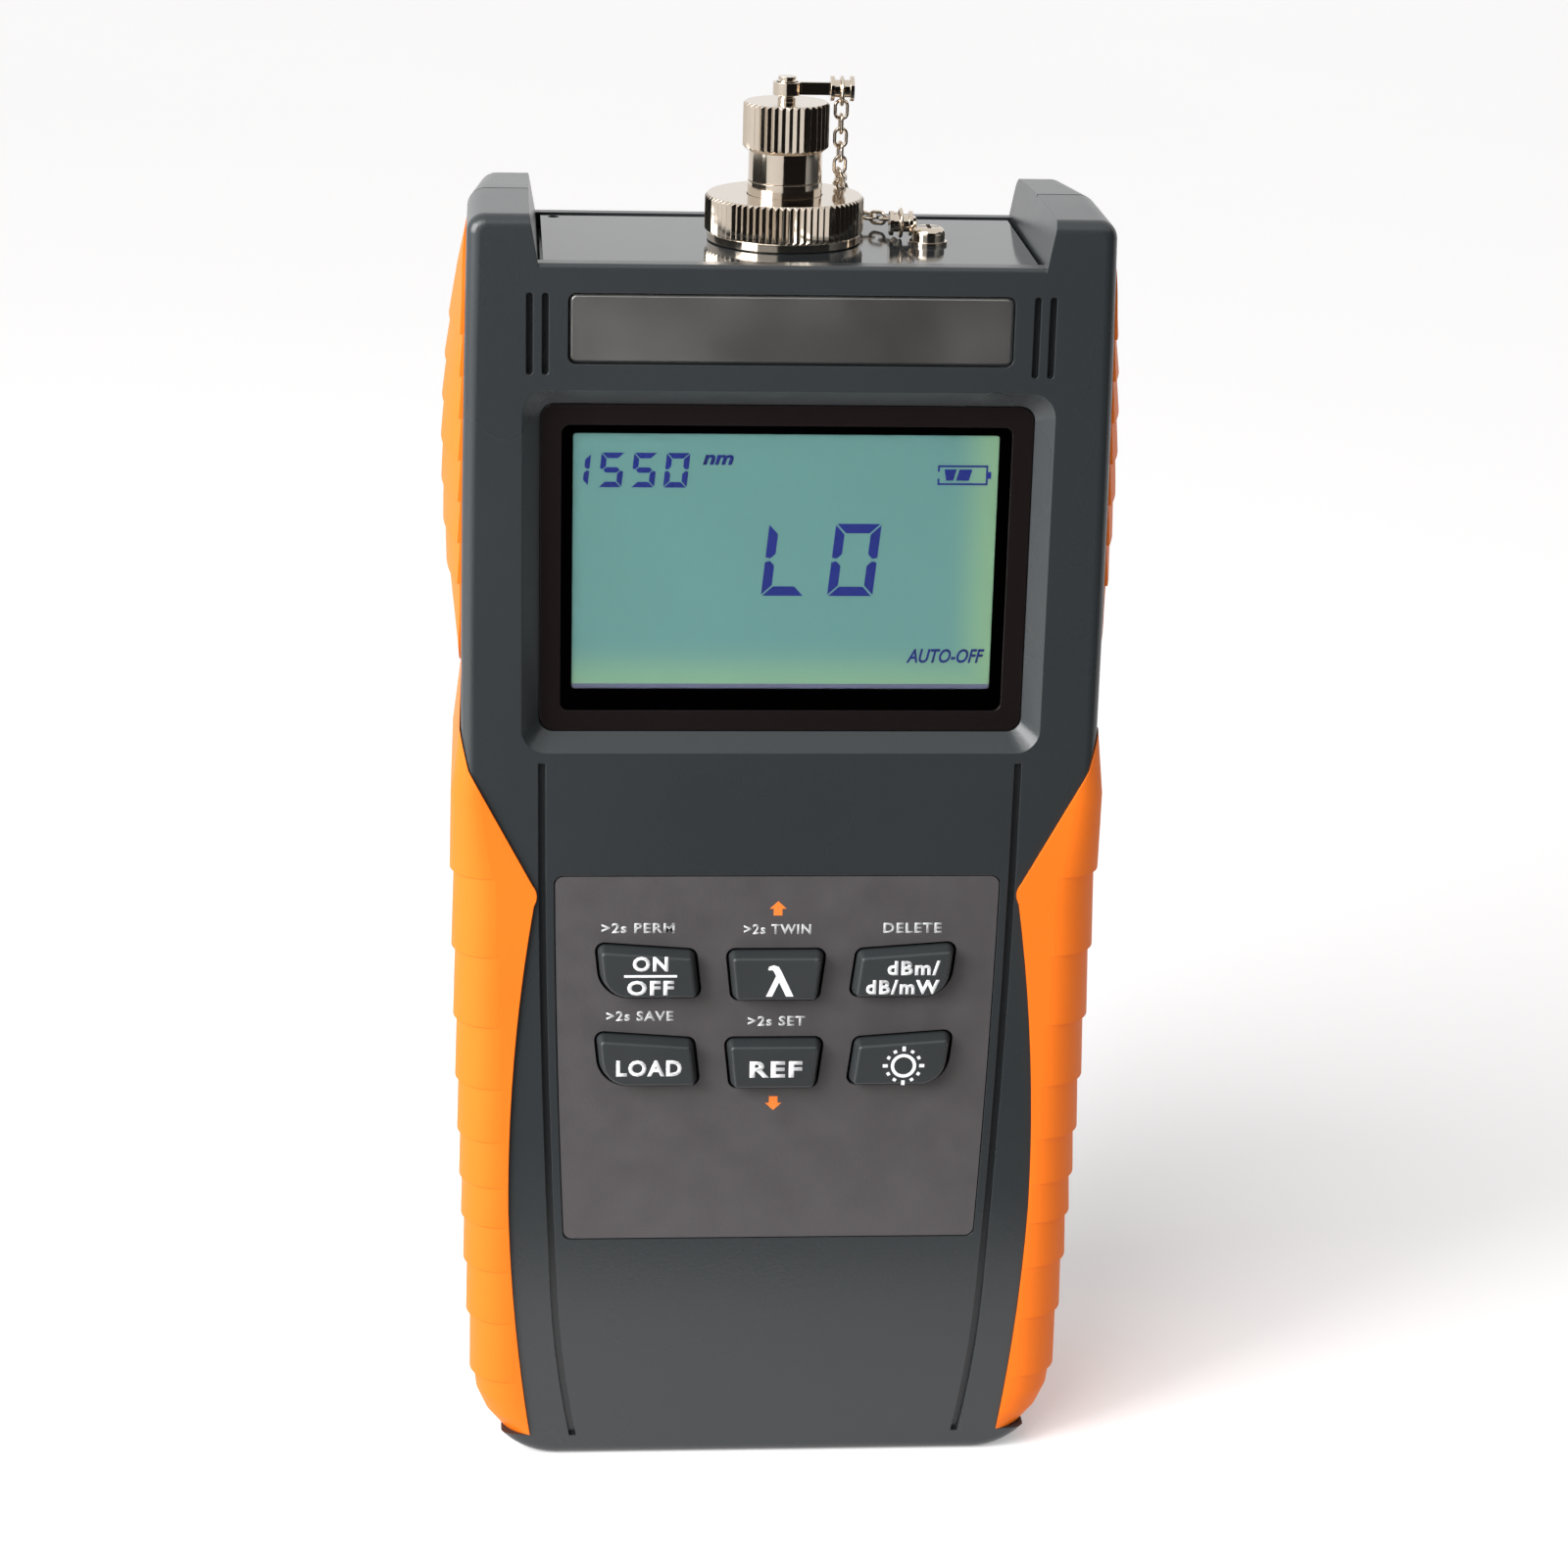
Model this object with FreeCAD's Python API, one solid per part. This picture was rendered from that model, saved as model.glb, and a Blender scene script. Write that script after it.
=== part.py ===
import FreeCAD
import Part
import math
import os

# Handheld optical power meter, standing on its bottom end.
# Millimetres. +Z up, +X to the user's right, front face towards -Y.
# The origin is at the centre of the base of the overall box.

V = FreeCAD.Vector

# ---------------------------------------------------------------- case
case_depth = 35.0
front_shell_depth = 18.0
ear_top = 162.0
lip_top = 156.4
waist_z = 98.0
waist_half = 39.0
shoulder_draw = 0.8
shoulder_z = 160.0
foot_draw = 2.5
foot_z = 9.0
bottom_corner = 9.5
ear_corner = 2.2
wall = 2.2
front_wall = 2.4
front_round = 1.6
rear_round = 1.8
rear_draft = 1.5
rear_top_draft = 0.9
ear_width = 9.1
ear_slope = 1.0
lip_round = 0.6
seam_width = 0.4
seam_depth = 0.35
tongue = 0.9
tongue_height = 1.2
fit_gap = 0.1

# ---------------------------------------------------------------- keys
key_proud = 1.8
key_travel = 0.8
key_gap = 0.35
key_draft = 0.45
key_round = 0.4
key_flange = 0.8
key_row_pitch = 11.9
side_key_outer = 22.7
side_key_inner = 9.9
side_key_top = 71.7
side_key_step = 0.95
side_key_height = 7.6
side_key_lean = 0.8
side_key_cut = 4.0
centre_key_half = 6.4
centre_key_taper = 0.8
centre_key_top = 70.8
centre_key_height = 7.1
key_corner = 1.2

# ---------------------------------------------------------------- grips
pad_front_proud = 0.4
pad_rear_proud = 0.8
pad_side_proud = 1.1
pad_sink = 0.9
pad_corner = 5.5
scale_rise = 0.5
scale_mid_z = 35.6
scale_pitch = 5.25
scale_growth = 0.516
scales_up = 6
scales_down = 4
foot_slices = 3
pad_top = 100.0
pad_shoulder_z = 94.0
pad_shoulder_in = 0.9
pad_tip_in = 9.2
pad_tip_z = 78.2
pad_tip_round = 1.3
pad_waist_in = 5.8
pad_flank_in = 7.1
pad_flank_z = 63.0
pad_toe_in = 6.4
pad_toe_z = 23.0
pad_waist_z = 35.0
pad_foot_in = 8.6
pad_foot_z = 3.2
pad_ease = 8.0
pad_core_bevel = 1.6
side_pad_top = 159.3
side_pad_bottom = 105.3
side_pad_bulge = 2.5
side_pad_inset = 2.1
side_pad_edge = 0.2
side_pad_end_round = 9.0
side_scale_rise = 0.3
side_scale_pitch = 5.07
side_scales = 7

# ---------------------------------------------------------------- front face
plate_in = 12.65
plate_low = 144.5
plate_high = 153.0
plate_corner = 1.0
plate_recess = 0.9
plate_thick = 0.8
plate_gap = 0.12
vent_low = 143.2
vent_high = 153.0
vent_width = 0.8
vent_depth = 1.2
vent_in = 10.0
vent_pitch = 1.85
groove_top_in = 9.8
groove_top_z = 95.0
groove_toe_in = 11.6
groove_toe_z = 23.5
groove_end_z = 3.0
groove_toe_radius = 142.0
groove_width = 0.9
groove_depth = 0.8
overlay_top = 80.4
overlay_bottom = 31.0
overlay_margin = 1.45
overlay_corner = 1.1
overlay_recess = 0.4
overlay_thick = 0.35
overlay_gap = 0.15

# ---------------------------------------------------------------- display
dish_in = 7.3
dish_low = 96.3
dish_high = 141.4
dish_corner = 3.0
dish_depth = 2.3
dish_slope = 2.1
bezel_width = 2.5
bezel_thick = 0.5
bezel_corner = 1.8
lens_thick = 0.85
mask_thick = 0.15
lens_gap = 0.1
view_in = 6.1
view_low = 103.5
view_high = 135.4
ledge_thick = 1.0
ledge_width = 2.1
lcd_gap = 0.3
lcd_depth = 4.0
lcd_thick = 1.6
window_frame = 2.0

# ---------------------------------------------------------------- board
board_depth = 8.4
board_thick = 1.6
board_in = 10.4
board_low = 13.0
board_high = 150.0
post_radius = 2.2
board_pilot = 0.8
board_screw_radius = 0.75
board_head_radius = 1.7
board_head_height = 1.2
board_screw_length = 5.0
board_pilot_depth = 5.2
post_places = ((13.5, 146.0), (12.0, 92.0), (12.0, 20.0))
chip_places = ((-2.0, 91.0), (14.0, 110.0), (-16.0, 108.0))
chip_half = 4.5
chip_height = 1.4
mat_thick = 1.0
mat_margin = 1.8
dome_radius = 2.6
dome_tip_radius = 1.9
dome_clear = 0.15

# ---------------------------------------------------------------- case screws
case_screw_places = ((7.0, 147.5), (14.0, 7.6))
boss_radius = 2.9
case_pilot = 1.3
case_shank = 1.25
case_shank_hole = 1.6
case_head_radius = 2.3
case_head_height = 1.7
counterbore = 2.5
counterbore_depth = 2.4
case_screw_length = 22.0
case_pilot_depth = 9.0

# ---------------------------------------------------------------- batteries
cell_radius = 7.15
cell_length = 49.2
cell_bevel = 0.5
cell_nub = 1.0
cell_nub_radius = 2.7
cell_pitch = 14.9
cell_count = 3
bay_clear = 0.35
bay_low = 14.0
bay_wall = 1.5
contact_thick = 0.4
contact_height = 9.0
spring_reach = 3.6
spring_width = 6.0
door_skin = 1.3
door_lip = 1.9
door_plug = 0.9
door_gap = 0.25
door_corner = 2.0
thumb_half = 7.0
thumb_radius = 9.0
thumb_depth = 1.0
door_rib_half = 8.0
door_rib_height = 0.4
door_rib_width = 0.8
door_rib_pitch = 2.0
door_ribs = 5

# ---------------------------------------------------------------- top panel and port
panel_top = 156.2
panel_thick = 2.0
panel_gap = 0.25
ledge_reach = 1.5
axis_depth = 17.5
boss_out_radius = 8.0
boss_in_radius = 3.5
boss_height = 4.1
housing_radius = 6.8
housing_flange = 10.0
housing_flange_thick = 2.0
housing_depth = 14.0
diode_radius = 2.7
diode_flange = 3.4
diode_height = 3.4
adapter_flange = 7.6
adapter_flange_thick = 0.8
collar_radius = 4.5
collar_height = 2.35
thread_radius = 3.95
thread_length = 6.15
adapter_bore = 3.2
holder_radius = 2.2
holder_sink = 2.1
key_slot = 2.2
sleeve_out = 1.6
sleeve_bore = 1.25
light_hole = 1.0
sleeve_sink = 0.3
nut_radius = 9.6
nut_root = 9.25
nut_rim_radius = 9.3
nut_rim = 0.9
nut_seat = 0.15
nut_cover = 0.7
nut_lip = 0.5
nut_teeth = 72
nut_chamfer = 0.35
thread_clear = 0.15
cap_radius = 5.2
cap_root = 4.92
cap_teeth = 36
cap_knurl = 5.8
cap_tip_clear = 0.7
cap_chamfer = 0.55
cap_top_chamfer = 0.25
skirt_radius = 4.45
skirt_clear = 0.17
cap_roof = 2.6
cap_seat = 0.1
post_cap_radius = 1.1
post_cap_height = 3.0
strap_thick = 0.4
strap_height = 1.5
strap_low = 0.85
strap_clear = 0.2
spool_x = 6.6
spool_length = 2.8
spool_flange = 1.5
spool_barrel = 1.05
spool_flange_thick = 0.45

# ---------------------------------------------------------------- chain and its anchor
link_wire = 0.45
link_width = 1.9
link_pitch = 1.7
link_clear = 0.2
link_facets = 5
hanger_inner = 1.4
hanger_clear = 0.05
chain_bend = 3.2
chain_lift = 1.05
anchor_x = 17.5
anchor_depth = 16.0
anchor_thick = 0.4
anchor_washer = 2.3
anchor_spool_left = 3.1
anchor_spool_behind = 2.9
screw_shank = 1.2
screw_head = 2.02
screw_dome = 1.7
screw_length = 5.0
cross_width = 0.5
cross_depth = 0.7

# ---------------------------------------------------------------- worked out from the above
shoulder_half = waist_half - shoulder_draw
foot_half = waist_half - foot_draw
notch_half_low = waist_half - ear_width
notch_half_high = notch_half_low + ear_slope
pad_shoulder_x = waist_half - pad_shoulder_in
pad_tip_x = waist_half - pad_tip_in
pad_waist_x = waist_half - pad_waist_in
pad_foot_x = waist_half - pad_foot_in
plate_half = waist_half - plate_in
vent_x = waist_half - vent_in
groove_top_x = waist_half - groove_top_in
groove_toe_x = waist_half - groove_toe_in
dish_half = waist_half - dish_in
view_half = dish_half - view_in
board_half = waist_half - board_in
posts = [(waist_half - inset, z) for inset, z in post_places]
case_bosses = [(waist_half - inset, z) for inset, z in case_screw_places]
front_y = key_proud - (case_depth + key_proud + pad_rear_proud) / 2.0
back_y = front_y + case_depth
part_y = front_y + front_shell_depth
axis_y = front_y + axis_depth
pad_front_y = front_y - pad_front_proud
pad_rear_y = back_y + pad_rear_proud
board_y = front_y + board_depth
anchor_y = front_y + anchor_depth
flange_top = panel_top + boss_height + adapter_flange_thick
collar_top = flange_top + collar_height
thread_top = collar_top + thread_length
holder_top = thread_top - holder_sink
sleeve_top = holder_top - sleeve_sink
nut_top = flange_top + nut_cover
cap_high = thread_top + cap_tip_clear + cap_roof
cap_low = cap_high - cap_knurl
spool_z = cap_high + strap_low + strap_height / 2.0
anchor_spool_x = anchor_x - anchor_spool_left
anchor_spool_y = anchor_y + anchor_spool_behind
anchor_spool_z = panel_top + hanger_inner + link_wire + hanger_clear
hanger_drop = hanger_inner - spool_barrel - hanger_clear
hanger_y = anchor_spool_y + hanger_drop
bay_half = cell_count * cell_pitch / 2.0 + bay_clear
bay_high = bay_low + 2.0 * contact_thick + spring_reach + cell_length + cell_nub
cell_y = back_y - door_skin - door_plug - bay_clear - cell_radius
bay_front = cell_y - cell_radius - bay_clear
reach = ear_top / 2.0


# ================================================================ drawing helpers
def box(x0, x1, y0, y1, z0, z1):
    """A block between two corners."""
    return Part.makeBox(x1 - x0, y1 - y0, z1 - z0, V(x0, y0, z0))


def rod(x, y, z, radius, length, way=V(0, 0, 1)):
    """A round bar from a point along a direction."""
    return Part.makeCylinder(radius, length, V(x, y, z), way)


def fuse(shapes):
    """One shape from many."""
    shapes = list(shapes)
    return shapes[0].multiFuse(shapes[1:]).removeSplitter()


def line(a, b):
    return Part.LineSegment(a, b).toShape()


def arc(a, middle, b):
    return Part.Arc(a, middle, b).toShape()


def rounded_polygon(corners, radii, y):
    """A closed outline in the plane y, each corner rounded by its own radius."""
    count = len(corners)
    points = [V(x, y, z) for x, z in corners]
    stretches = []
    for i in range(count):
        here = points[i]
        back = (points[i - 1] - here).normalize()
        ahead = (points[(i + 1) % count] - here).normalize()
        half = math.acos(max(-1.0, min(1.0, back.dot(ahead)))) / 2.0
        run = radii[i] / math.tan(half)
        start = here + back * run
        end = here + ahead * run
        inward = (back + ahead).normalize()
        centre = here + inward * (radii[i] / math.sin(half))
        stretches.append((start, centre - inward * radii[i], end))
    edges = []
    for i in range(count):
        start, middle, end = stretches[i]
        following = stretches[(i + 1) % count][0]
        edges.append(arc(start, middle, end))
        if (following - end).Length > 1e-6:
            edges.append(line(end, following))
    return Part.Wire(edges)


def rounded_box(x0, x1, z0, z1, radius, y):
    """A rounded rectangle in the plane y."""
    corners = ((x0, z0), (x1, z0), (x1, z1), (x0, z1))
    return rounded_polygon(corners, [radius] * 4, y)


def slab(wire, thick):
    """The outline made solid backwards along +Y."""
    return Part.Face(wire).extrude(V(0, thick, 0))


def grown(wire, amount):
    """The outline moved outwards, or inwards if the amount is negative."""
    return wire.makeOffset2D(amount)


def mirrored(shape):
    """The same thing on the other side of the centre plane."""
    return shape.mirror(V(0, 0, 0), V(1, 0, 0))


def edges_at(shape, test):
    """The edges whose two ends and middle all pass the test."""
    chosen = []
    for edge in shape.Edges:
        spots = [vertex.Point for vertex in edge.Vertexes]
        spots.append(edge.valueAt((edge.FirstParameter + edge.LastParameter) / 2.0))
        if all(test(spot) for spot in spots):
            chosen.append(edge)
    return chosen


# ================================================================ case outline
def side_circle(narrow, top):
    """Centre x and radius of the circle of one side, above or below the waist."""
    far_half = shoulder_half if top else foot_half
    rise = abs((shoulder_z if top else foot_z) - waist_z)
    drop = waist_half - far_half
    radius = (rise ** 2 + drop ** 2) / (2.0 * drop)
    return waist_half - narrow - radius, radius


def corner_circle(narrow, top, level, corner):
    """Centre of a corner that touches the level line and the side circle."""
    side_x, side_radius = side_circle(narrow, top)
    z = level - corner if top else level + corner
    return side_x + math.sqrt((side_radius - corner) ** 2 - (z - waist_z) ** 2), z


def case_half(z):
    """Half the width of the case at a height, down to its rounded foot."""
    if z < foot_z:
        x, corner_z = corner_circle(0.0, False, 0.0, bottom_corner)
        return x + math.sqrt(max(0.0, bottom_corner ** 2 - (z - corner_z) ** 2))
    side_x, side_radius = side_circle(0.0, z > waist_z)
    return side_x + math.sqrt(side_radius ** 2 - (z - waist_z) ** 2)


def half_outline(y, sign, inset, narrow, top_level, top_corner):
    """The edges of one side, from the bottom middle up to the top middle."""
    low_corner = bottom_corner - inset
    high_corner = max(0.6, top_corner - inset)
    shift = narrow + inset
    low_x, low_z = corner_circle(shift, False, inset, low_corner)
    high_x, high_z = corner_circle(shift, True, top_level - inset, high_corner)
    low_side_x, low_side_radius = side_circle(shift, False)
    high_side_x, high_side_radius = side_circle(shift, True)
    down = -math.pi / 2.0
    up = math.pi / 2.0
    low_touch = math.atan2(low_z - waist_z, low_x - low_side_x)
    high_touch = math.atan2(high_z - waist_z, high_x - high_side_x)

    def turn(x, z, radius, a, b):
        spots = [V(sign * (x + radius * math.cos(t)), y, z + radius * math.sin(t)) for t in (a, (a + b) / 2.0, b)]
        return arc(*spots)

    return [
        turn(low_x, low_z, low_corner, down, low_touch),
        turn(low_side_x, waist_z, low_side_radius, low_touch, 0.0),
        turn(high_side_x, waist_z, high_side_radius, 0.0, high_touch),
        turn(high_x, high_z, high_corner, high_touch, up),
    ]


def case_outline(y, inset=0.0, narrow=0.0, lower=0.0, top_corner=ear_corner):
    """The front view of the case, ears not yet cut, in the plane y."""
    right = half_outline(y, 1.0, inset, narrow, ear_top - lower, top_corner)
    left = half_outline(y, -1.0, inset, narrow, ear_top - lower, top_corner)
    base = line(left[0].Vertexes[0].Point, right[0].Vertexes[0].Point)
    top = line(right[-1].Vertexes[-1].Point, left[-1].Vertexes[-1].Point)
    return Part.Wire(Part.sortEdges([base] + right + [top] + left)[0])


def rear_outline(y, inset=0.0, lower=0.0, top_corner=ear_corner):
    """The same at a depth in the rear shell, which draws in towards the back."""
    part = (y - part_y) / (back_y - part_y)
    return case_outline(y, inset, rear_draft * part, rear_top_draft * part + lower, top_corner)


# ================================================================ case shells
def case_block():
    """The outside of both shells together, before anything is cut."""
    front = slab(case_outline(front_y), front_shell_depth)
    rear = Part.makeLoft([rear_outline(part_y), rear_outline(back_y)], True, True)
    front = front.makeFillet(front_round, edges_at(front, lambda p: abs(p.y - front_y) < 1e-4))
    rear = rear.makeFillet(rear_round, edges_at(rear, lambda p: abs(p.y - back_y) < 1e-4))
    return front, rear


def case_hollow():
    """The room inside the two shells."""
    front_room = slab(case_outline(front_y + front_wall, wall), front_shell_depth - front_wall)
    rear_room = Part.makeLoft([rear_outline(part_y, wall), rear_outline(back_y - wall, wall)], True, True)
    return front_room, rear_room


def notch():
    """The gap between the two ears."""
    spread = notch_half_high - notch_half_low
    rise = ear_top - lip_top
    high = notch_half_low + spread * (rise + 5.0) / rise
    corners = (V(-notch_half_low, front_y - 5.0, lip_top), V(notch_half_low, front_y - 5.0, lip_top),
               V(high, front_y - 5.0, ear_top + 5.0), V(-high, front_y - 5.0, ear_top + 5.0))
    return Part.Face(Part.makePolygon(list(corners) + [corners[0]])).extrude(V(0, case_depth + 10.0, 0))


def ear_inner_walls(y0, y1):
    """The wall of each ear that faces the port, with the ledge under the top panel."""
    foot = panel_top - panel_thick - ledge_reach
    spread = (notch_half_high - notch_half_low) * (ear_top - foot) / (ear_top - lip_top)
    low = notch_half_high - spread
    corners = (V(low, y0, foot), V(low + wall, y0, foot),
               V(notch_half_high + wall, y0, ear_top), V(notch_half_high, y0, ear_top))
    side = Part.Face(Part.makePolygon(list(corners) + [corners[0]])).extrude(V(0, y1 - y0, 0))
    ledge = box(low - ledge_reach, low + wall, y0, y1, foot, panel_top - panel_thick)
    one = side.fuse(ledge)
    return one.fuse(mirrored(one))


def seam():
    """A shallow line round the case where the shells meet."""
    start = part_y - seam_width / 2.0
    outer = box(-reach, reach, start, start + seam_width, -reach, ear_top + reach)
    return outer.cut(slab(case_outline(start, seam_depth), seam_width))


def tongue_ring(shrink):
    """The lip of the front shell that plugs into the rear one."""
    height = tongue_height - shrink
    outer = slab(case_outline(part_y, wall - tongue + shrink), height)
    return outer.cut(slab(case_outline(part_y, wall), height))


def groove_circles():
    """Centres and radii of the long groove's two arcs."""
    rise = groove_top_z - groove_toe_z
    drop = groove_top_x - groove_toe_x
    radius = (rise ** 2 + drop ** 2) / (2.0 * drop)
    centre = V(groove_top_x - radius, 0, groove_top_z)
    toe = V(groove_toe_x, 0, groove_toe_z)
    toe_centre = toe - (toe - centre).normalize() * groove_toe_radius
    return centre, radius, toe_centre


def groove_x(z):
    """Where the long groove runs at a height."""
    centre, radius, toe_centre = groove_circles()
    if z >= groove_toe_z:
        return centre.x + math.sqrt(radius ** 2 - (z - centre.z) ** 2)
    return toe_centre.x + math.sqrt(groove_toe_radius ** 2 - (z - toe_centre.z) ** 2)


def groove_arc(shift, z0, z1, y, sign=1.0):
    """The stretch of the groove's line between two heights, moved sideways."""
    spots = [V(sign * (groove_x(z) + shift), y, z) for z in (z0, (z0 + z1) / 2.0, z1)]
    return arc(*spots)


def long_groove():
    """One of the two long grooves down the front."""
    y = front_y - 1.0
    half = groove_width / 2.0
    outer = [groove_arc(half, groove_top_z, groove_toe_z, y), groove_arc(half, groove_toe_z, groove_end_z, y)]
    inner = [groove_arc(-half, groove_end_z, groove_toe_z, y), groove_arc(-half, groove_toe_z, groove_top_z, y)]
    foot = line(outer[1].Vertexes[1].Point, inner[0].Vertexes[0].Point)
    head = line(inner[1].Vertexes[1].Point, outer[0].Vertexes[0].Point)
    return slab(Part.Wire(outer + [foot] + inner + [head]), 1.0 + groove_depth)


def overlay_outline(y, shrink=0.0):
    """The outline of the keypad's printed overlay."""
    top = overlay_top - shrink
    low = overlay_bottom + shrink
    shift = -overlay_margin - shrink
    right = groove_arc(shift, low, top, y)
    left = groove_arc(shift, top, low, y, -1.0)
    head = line(right.Vertexes[1].Point, left.Vertexes[0].Point)
    foot = line(left.Vertexes[1].Point, right.Vertexes[0].Point)
    return Part.Wire([right, head, left, foot])


def overlay_block(y, thick, shrink=0.0):
    """The overlay's outline made solid, its corners rounded."""
    block = slab(overlay_outline(y, shrink), thick)
    upright = edges_at(block, lambda p: True)
    corners = [edge for edge in upright if abs(edge.Vertexes[0].Point.y - edge.Vertexes[1].Point.y) > thick / 2.0]
    return block.makeFillet(overlay_corner, corners)


def vents():
    """Two upright slots beside each end of the name plate."""
    slots = []
    for index in range(2):
        x = vent_x + index * vent_pitch
        wire = rounded_box(x - vent_width / 2.0, x + vent_width / 2.0, vent_low, vent_high,
                           vent_width / 2.0 - 0.01, front_y - 1.0)
        slots.append(slab(wire, 1.0 + vent_depth))
    return slots + [mirrored(slot) for slot in slots]


def display_dish():
    """The sloped recess and the straight pocket that the display window sits in."""
    floor_y = front_y + dish_depth
    lens_half = dish_half - dish_slope
    mouth = rounded_box(-dish_half, dish_half, dish_low, dish_high, dish_corner, front_y)
    floor = rounded_box(-lens_half, lens_half, dish_low + dish_slope, dish_high - dish_slope, bezel_corner, floor_y)
    dish = Part.makeLoft([mouth, floor], True, True)
    skim = slab(rounded_box(-dish_half, dish_half, dish_low, dish_high, dish_corner, front_y - 1.0), 1.0)
    pocket = slab(floor, bezel_thick + lens_thick + mask_thick)
    return dish.fuse(skim).fuse(pocket)


def display_frame():
    """The thickening of the front wall round the display."""
    floor = dish_depth + bezel_thick + lens_thick + mask_thick + ledge_thick
    wire = rounded_box(-dish_half - window_frame, dish_half + window_frame, dish_low - window_frame,
                       dish_high + window_frame, dish_corner, front_y + 1.0)
    block = slab(wire, floor - 1.0)
    return block


def window_opening():
    """The hole in the display ledge that the liquid-crystal glass looks through."""
    half = dish_half - dish_slope - ledge_width
    wire = rounded_box(-half, half, dish_low + dish_slope + ledge_width, dish_high - dish_slope - ledge_width,
                       0.8, front_y + 1.0)
    return slab(wire, board_depth)


# ================================================================ keys
def side_key_corners(row):
    """Corner points and radii of a right-hand key's opening; row 0 is the upper one."""
    drop = row * key_row_pitch
    top = side_key_top - drop
    low = top - side_key_height
    corners = ((side_key_inner - side_key_lean, low), (side_key_outer - side_key_lean, low),
               (side_key_outer, top), (side_key_inner, top - side_key_step))
    radii = (key_corner, side_key_cut, key_corner, key_corner)
    return corners, radii


def centre_key_corners(row):
    """Corner points and radii of a middle key's opening."""
    top = centre_key_top - row * key_row_pitch
    low = top - centre_key_height
    narrow = centre_key_half - centre_key_taper
    corners = ((-narrow, low), (narrow, low), (centre_key_half, top), (-centre_key_half, top))
    return corners, (key_corner,) * 4


def key_outline(column, row, y, amount):
    """The outline of a key's opening in the plane y, grown or shrunk."""
    corners, radii = centre_key_corners(row) if column == 0 else side_key_corners(row)
    wire = rounded_polygon(corners, radii, y)
    if amount:
        wire = grown(wire, amount)
    return mirrored(wire) if column < 0 else wire


def key_cap(column, row):
    """A key: a drafted cap with a soft top edge on a flange that stops it coming out."""
    face_y = front_y - key_proud
    flange_y = front_y + front_wall
    stem = slab(key_outline(column, row, front_y, -key_gap), front_wall)
    crown = Part.makeLoft([key_outline(column, row, front_y, -key_gap),
                           key_outline(column, row, face_y, -key_gap - key_draft)], True, True)
    crown = crown.makeFillet(key_round, edges_at(crown, lambda p: abs(p.y - face_y) < 1e-4))
    flange = slab(key_outline(column, row, flange_y, key_flange), key_flange)
    return fuse([crown, stem, flange])


key_nodes = {
    "key_power": (-1, 0),
    "key_wavelength": (0, 0),
    "key_unit": (1, 0),
    "key_load": (-1, 1),
    "key_reference": (0, 1),
    "key_backlight": (1, 1),
}


def key_openings(y, thick):
    """The six openings, cut from y backwards."""
    return [slab(key_outline(column, row, y, 0.0), thick) for column, row in key_nodes.values()]


def key_mat():
    """The rubber sheet on the board, with a dome under each key."""
    front = board_y - mat_thick
    tip = front_y + front_wall + key_flange + key_travel + dome_clear
    half = side_key_outer + mat_margin
    top = side_key_top + mat_margin
    low = centre_key_top - key_row_pitch - centre_key_height - mat_margin
    pieces = [slab(rounded_box(-half, half, low, top, key_corner, front), mat_thick)]
    for column, row in key_nodes.values():
        middle = Part.Face(key_outline(column, row, front, 0.0)).CenterOfMass
        pieces.append(Part.makeCone(dome_tip_radius, dome_radius, front - tip,
                                    V(middle.x, tip, middle.z), V(0, 1, 0)))
    return fuse(pieces)


# ================================================================ grips
def scale_levels():
    """Heights of the lower edges of the overlapping scales, from the top down."""
    steps = [0.5 + k for k in range(scales_up)][::-1]
    steps += [-(0.5 + k) for k in range(scales_down)]
    return [scale_mid_z + scale_pitch * k + scale_growth * k * abs(k) for k in steps]


def stacked(sections):
    """Lofts joined one under another; two sections at one height make a step."""
    lofts = []
    for upper, lower in zip(sections[:-1], sections[1:]):
        if upper[0] - lower[0] > 1e-6:
            lofts.append(Part.makeLoft([upper[1], lower[1]], True, True))
    return fuse(lofts)


def scaled(levels, top, bottom, rise, section):
    """Overlapping scales: each flares outwards down to its edge, then steps back."""
    edges = list(levels)
    steps = [(top, section(top, 0.0))]
    start = top
    for edge in edges:
        middle = (start + edge) / 2.0
        steps.append((middle, section(middle, rise / 2.0)))
        steps.append((edge, section(edge, rise)))
        steps.append((edge, section(edge, 0.0)))
        start = edge
    for part in range(1, foot_slices + 1):
        z = start + (bottom - start) * part / foot_slices
        steps.append((z, section(z, 0.0)))
    return stacked(steps)


def lower_section(z, flare):
    """A level slice through the lower grip's outer form, open towards the case."""
    ease = min(1.0, (pad_top - z) / pad_ease, 0.25 + (z - pad_foot_z) / pad_ease)
    half = case_half(z) + pad_side_proud * max(0.0, ease) + flare
    blunt = max(0.0, (z - pad_tip_z) / (pad_top - pad_tip_z))
    corner = pad_corner - (pad_corner - front_round - 0.6) * min(1.0, blunt)
    inner = pad_tip_x - 6.0
    turn = corner * (1.0 - math.sqrt(0.5))
    y0 = pad_front_y
    y1 = pad_rear_y
    return Part.Wire([
        line(V(inner, y0, z), V(half - corner, y0, z)),
        arc(V(half - corner, y0, z), V(half - turn, y0 + turn, z), V(half, y0 + corner, z)),
        line(V(half, y0 + corner, z), V(half, y1 - corner, z)),
        arc(V(half, y1 - corner, z), V(half - turn, y1 - turn, z), V(half - corner, y1, z)),
        line(V(half - corner, y1, z), V(inner, y1, z)),
        line(V(inner, y1, z), V(inner, y0, z)),
    ])


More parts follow.
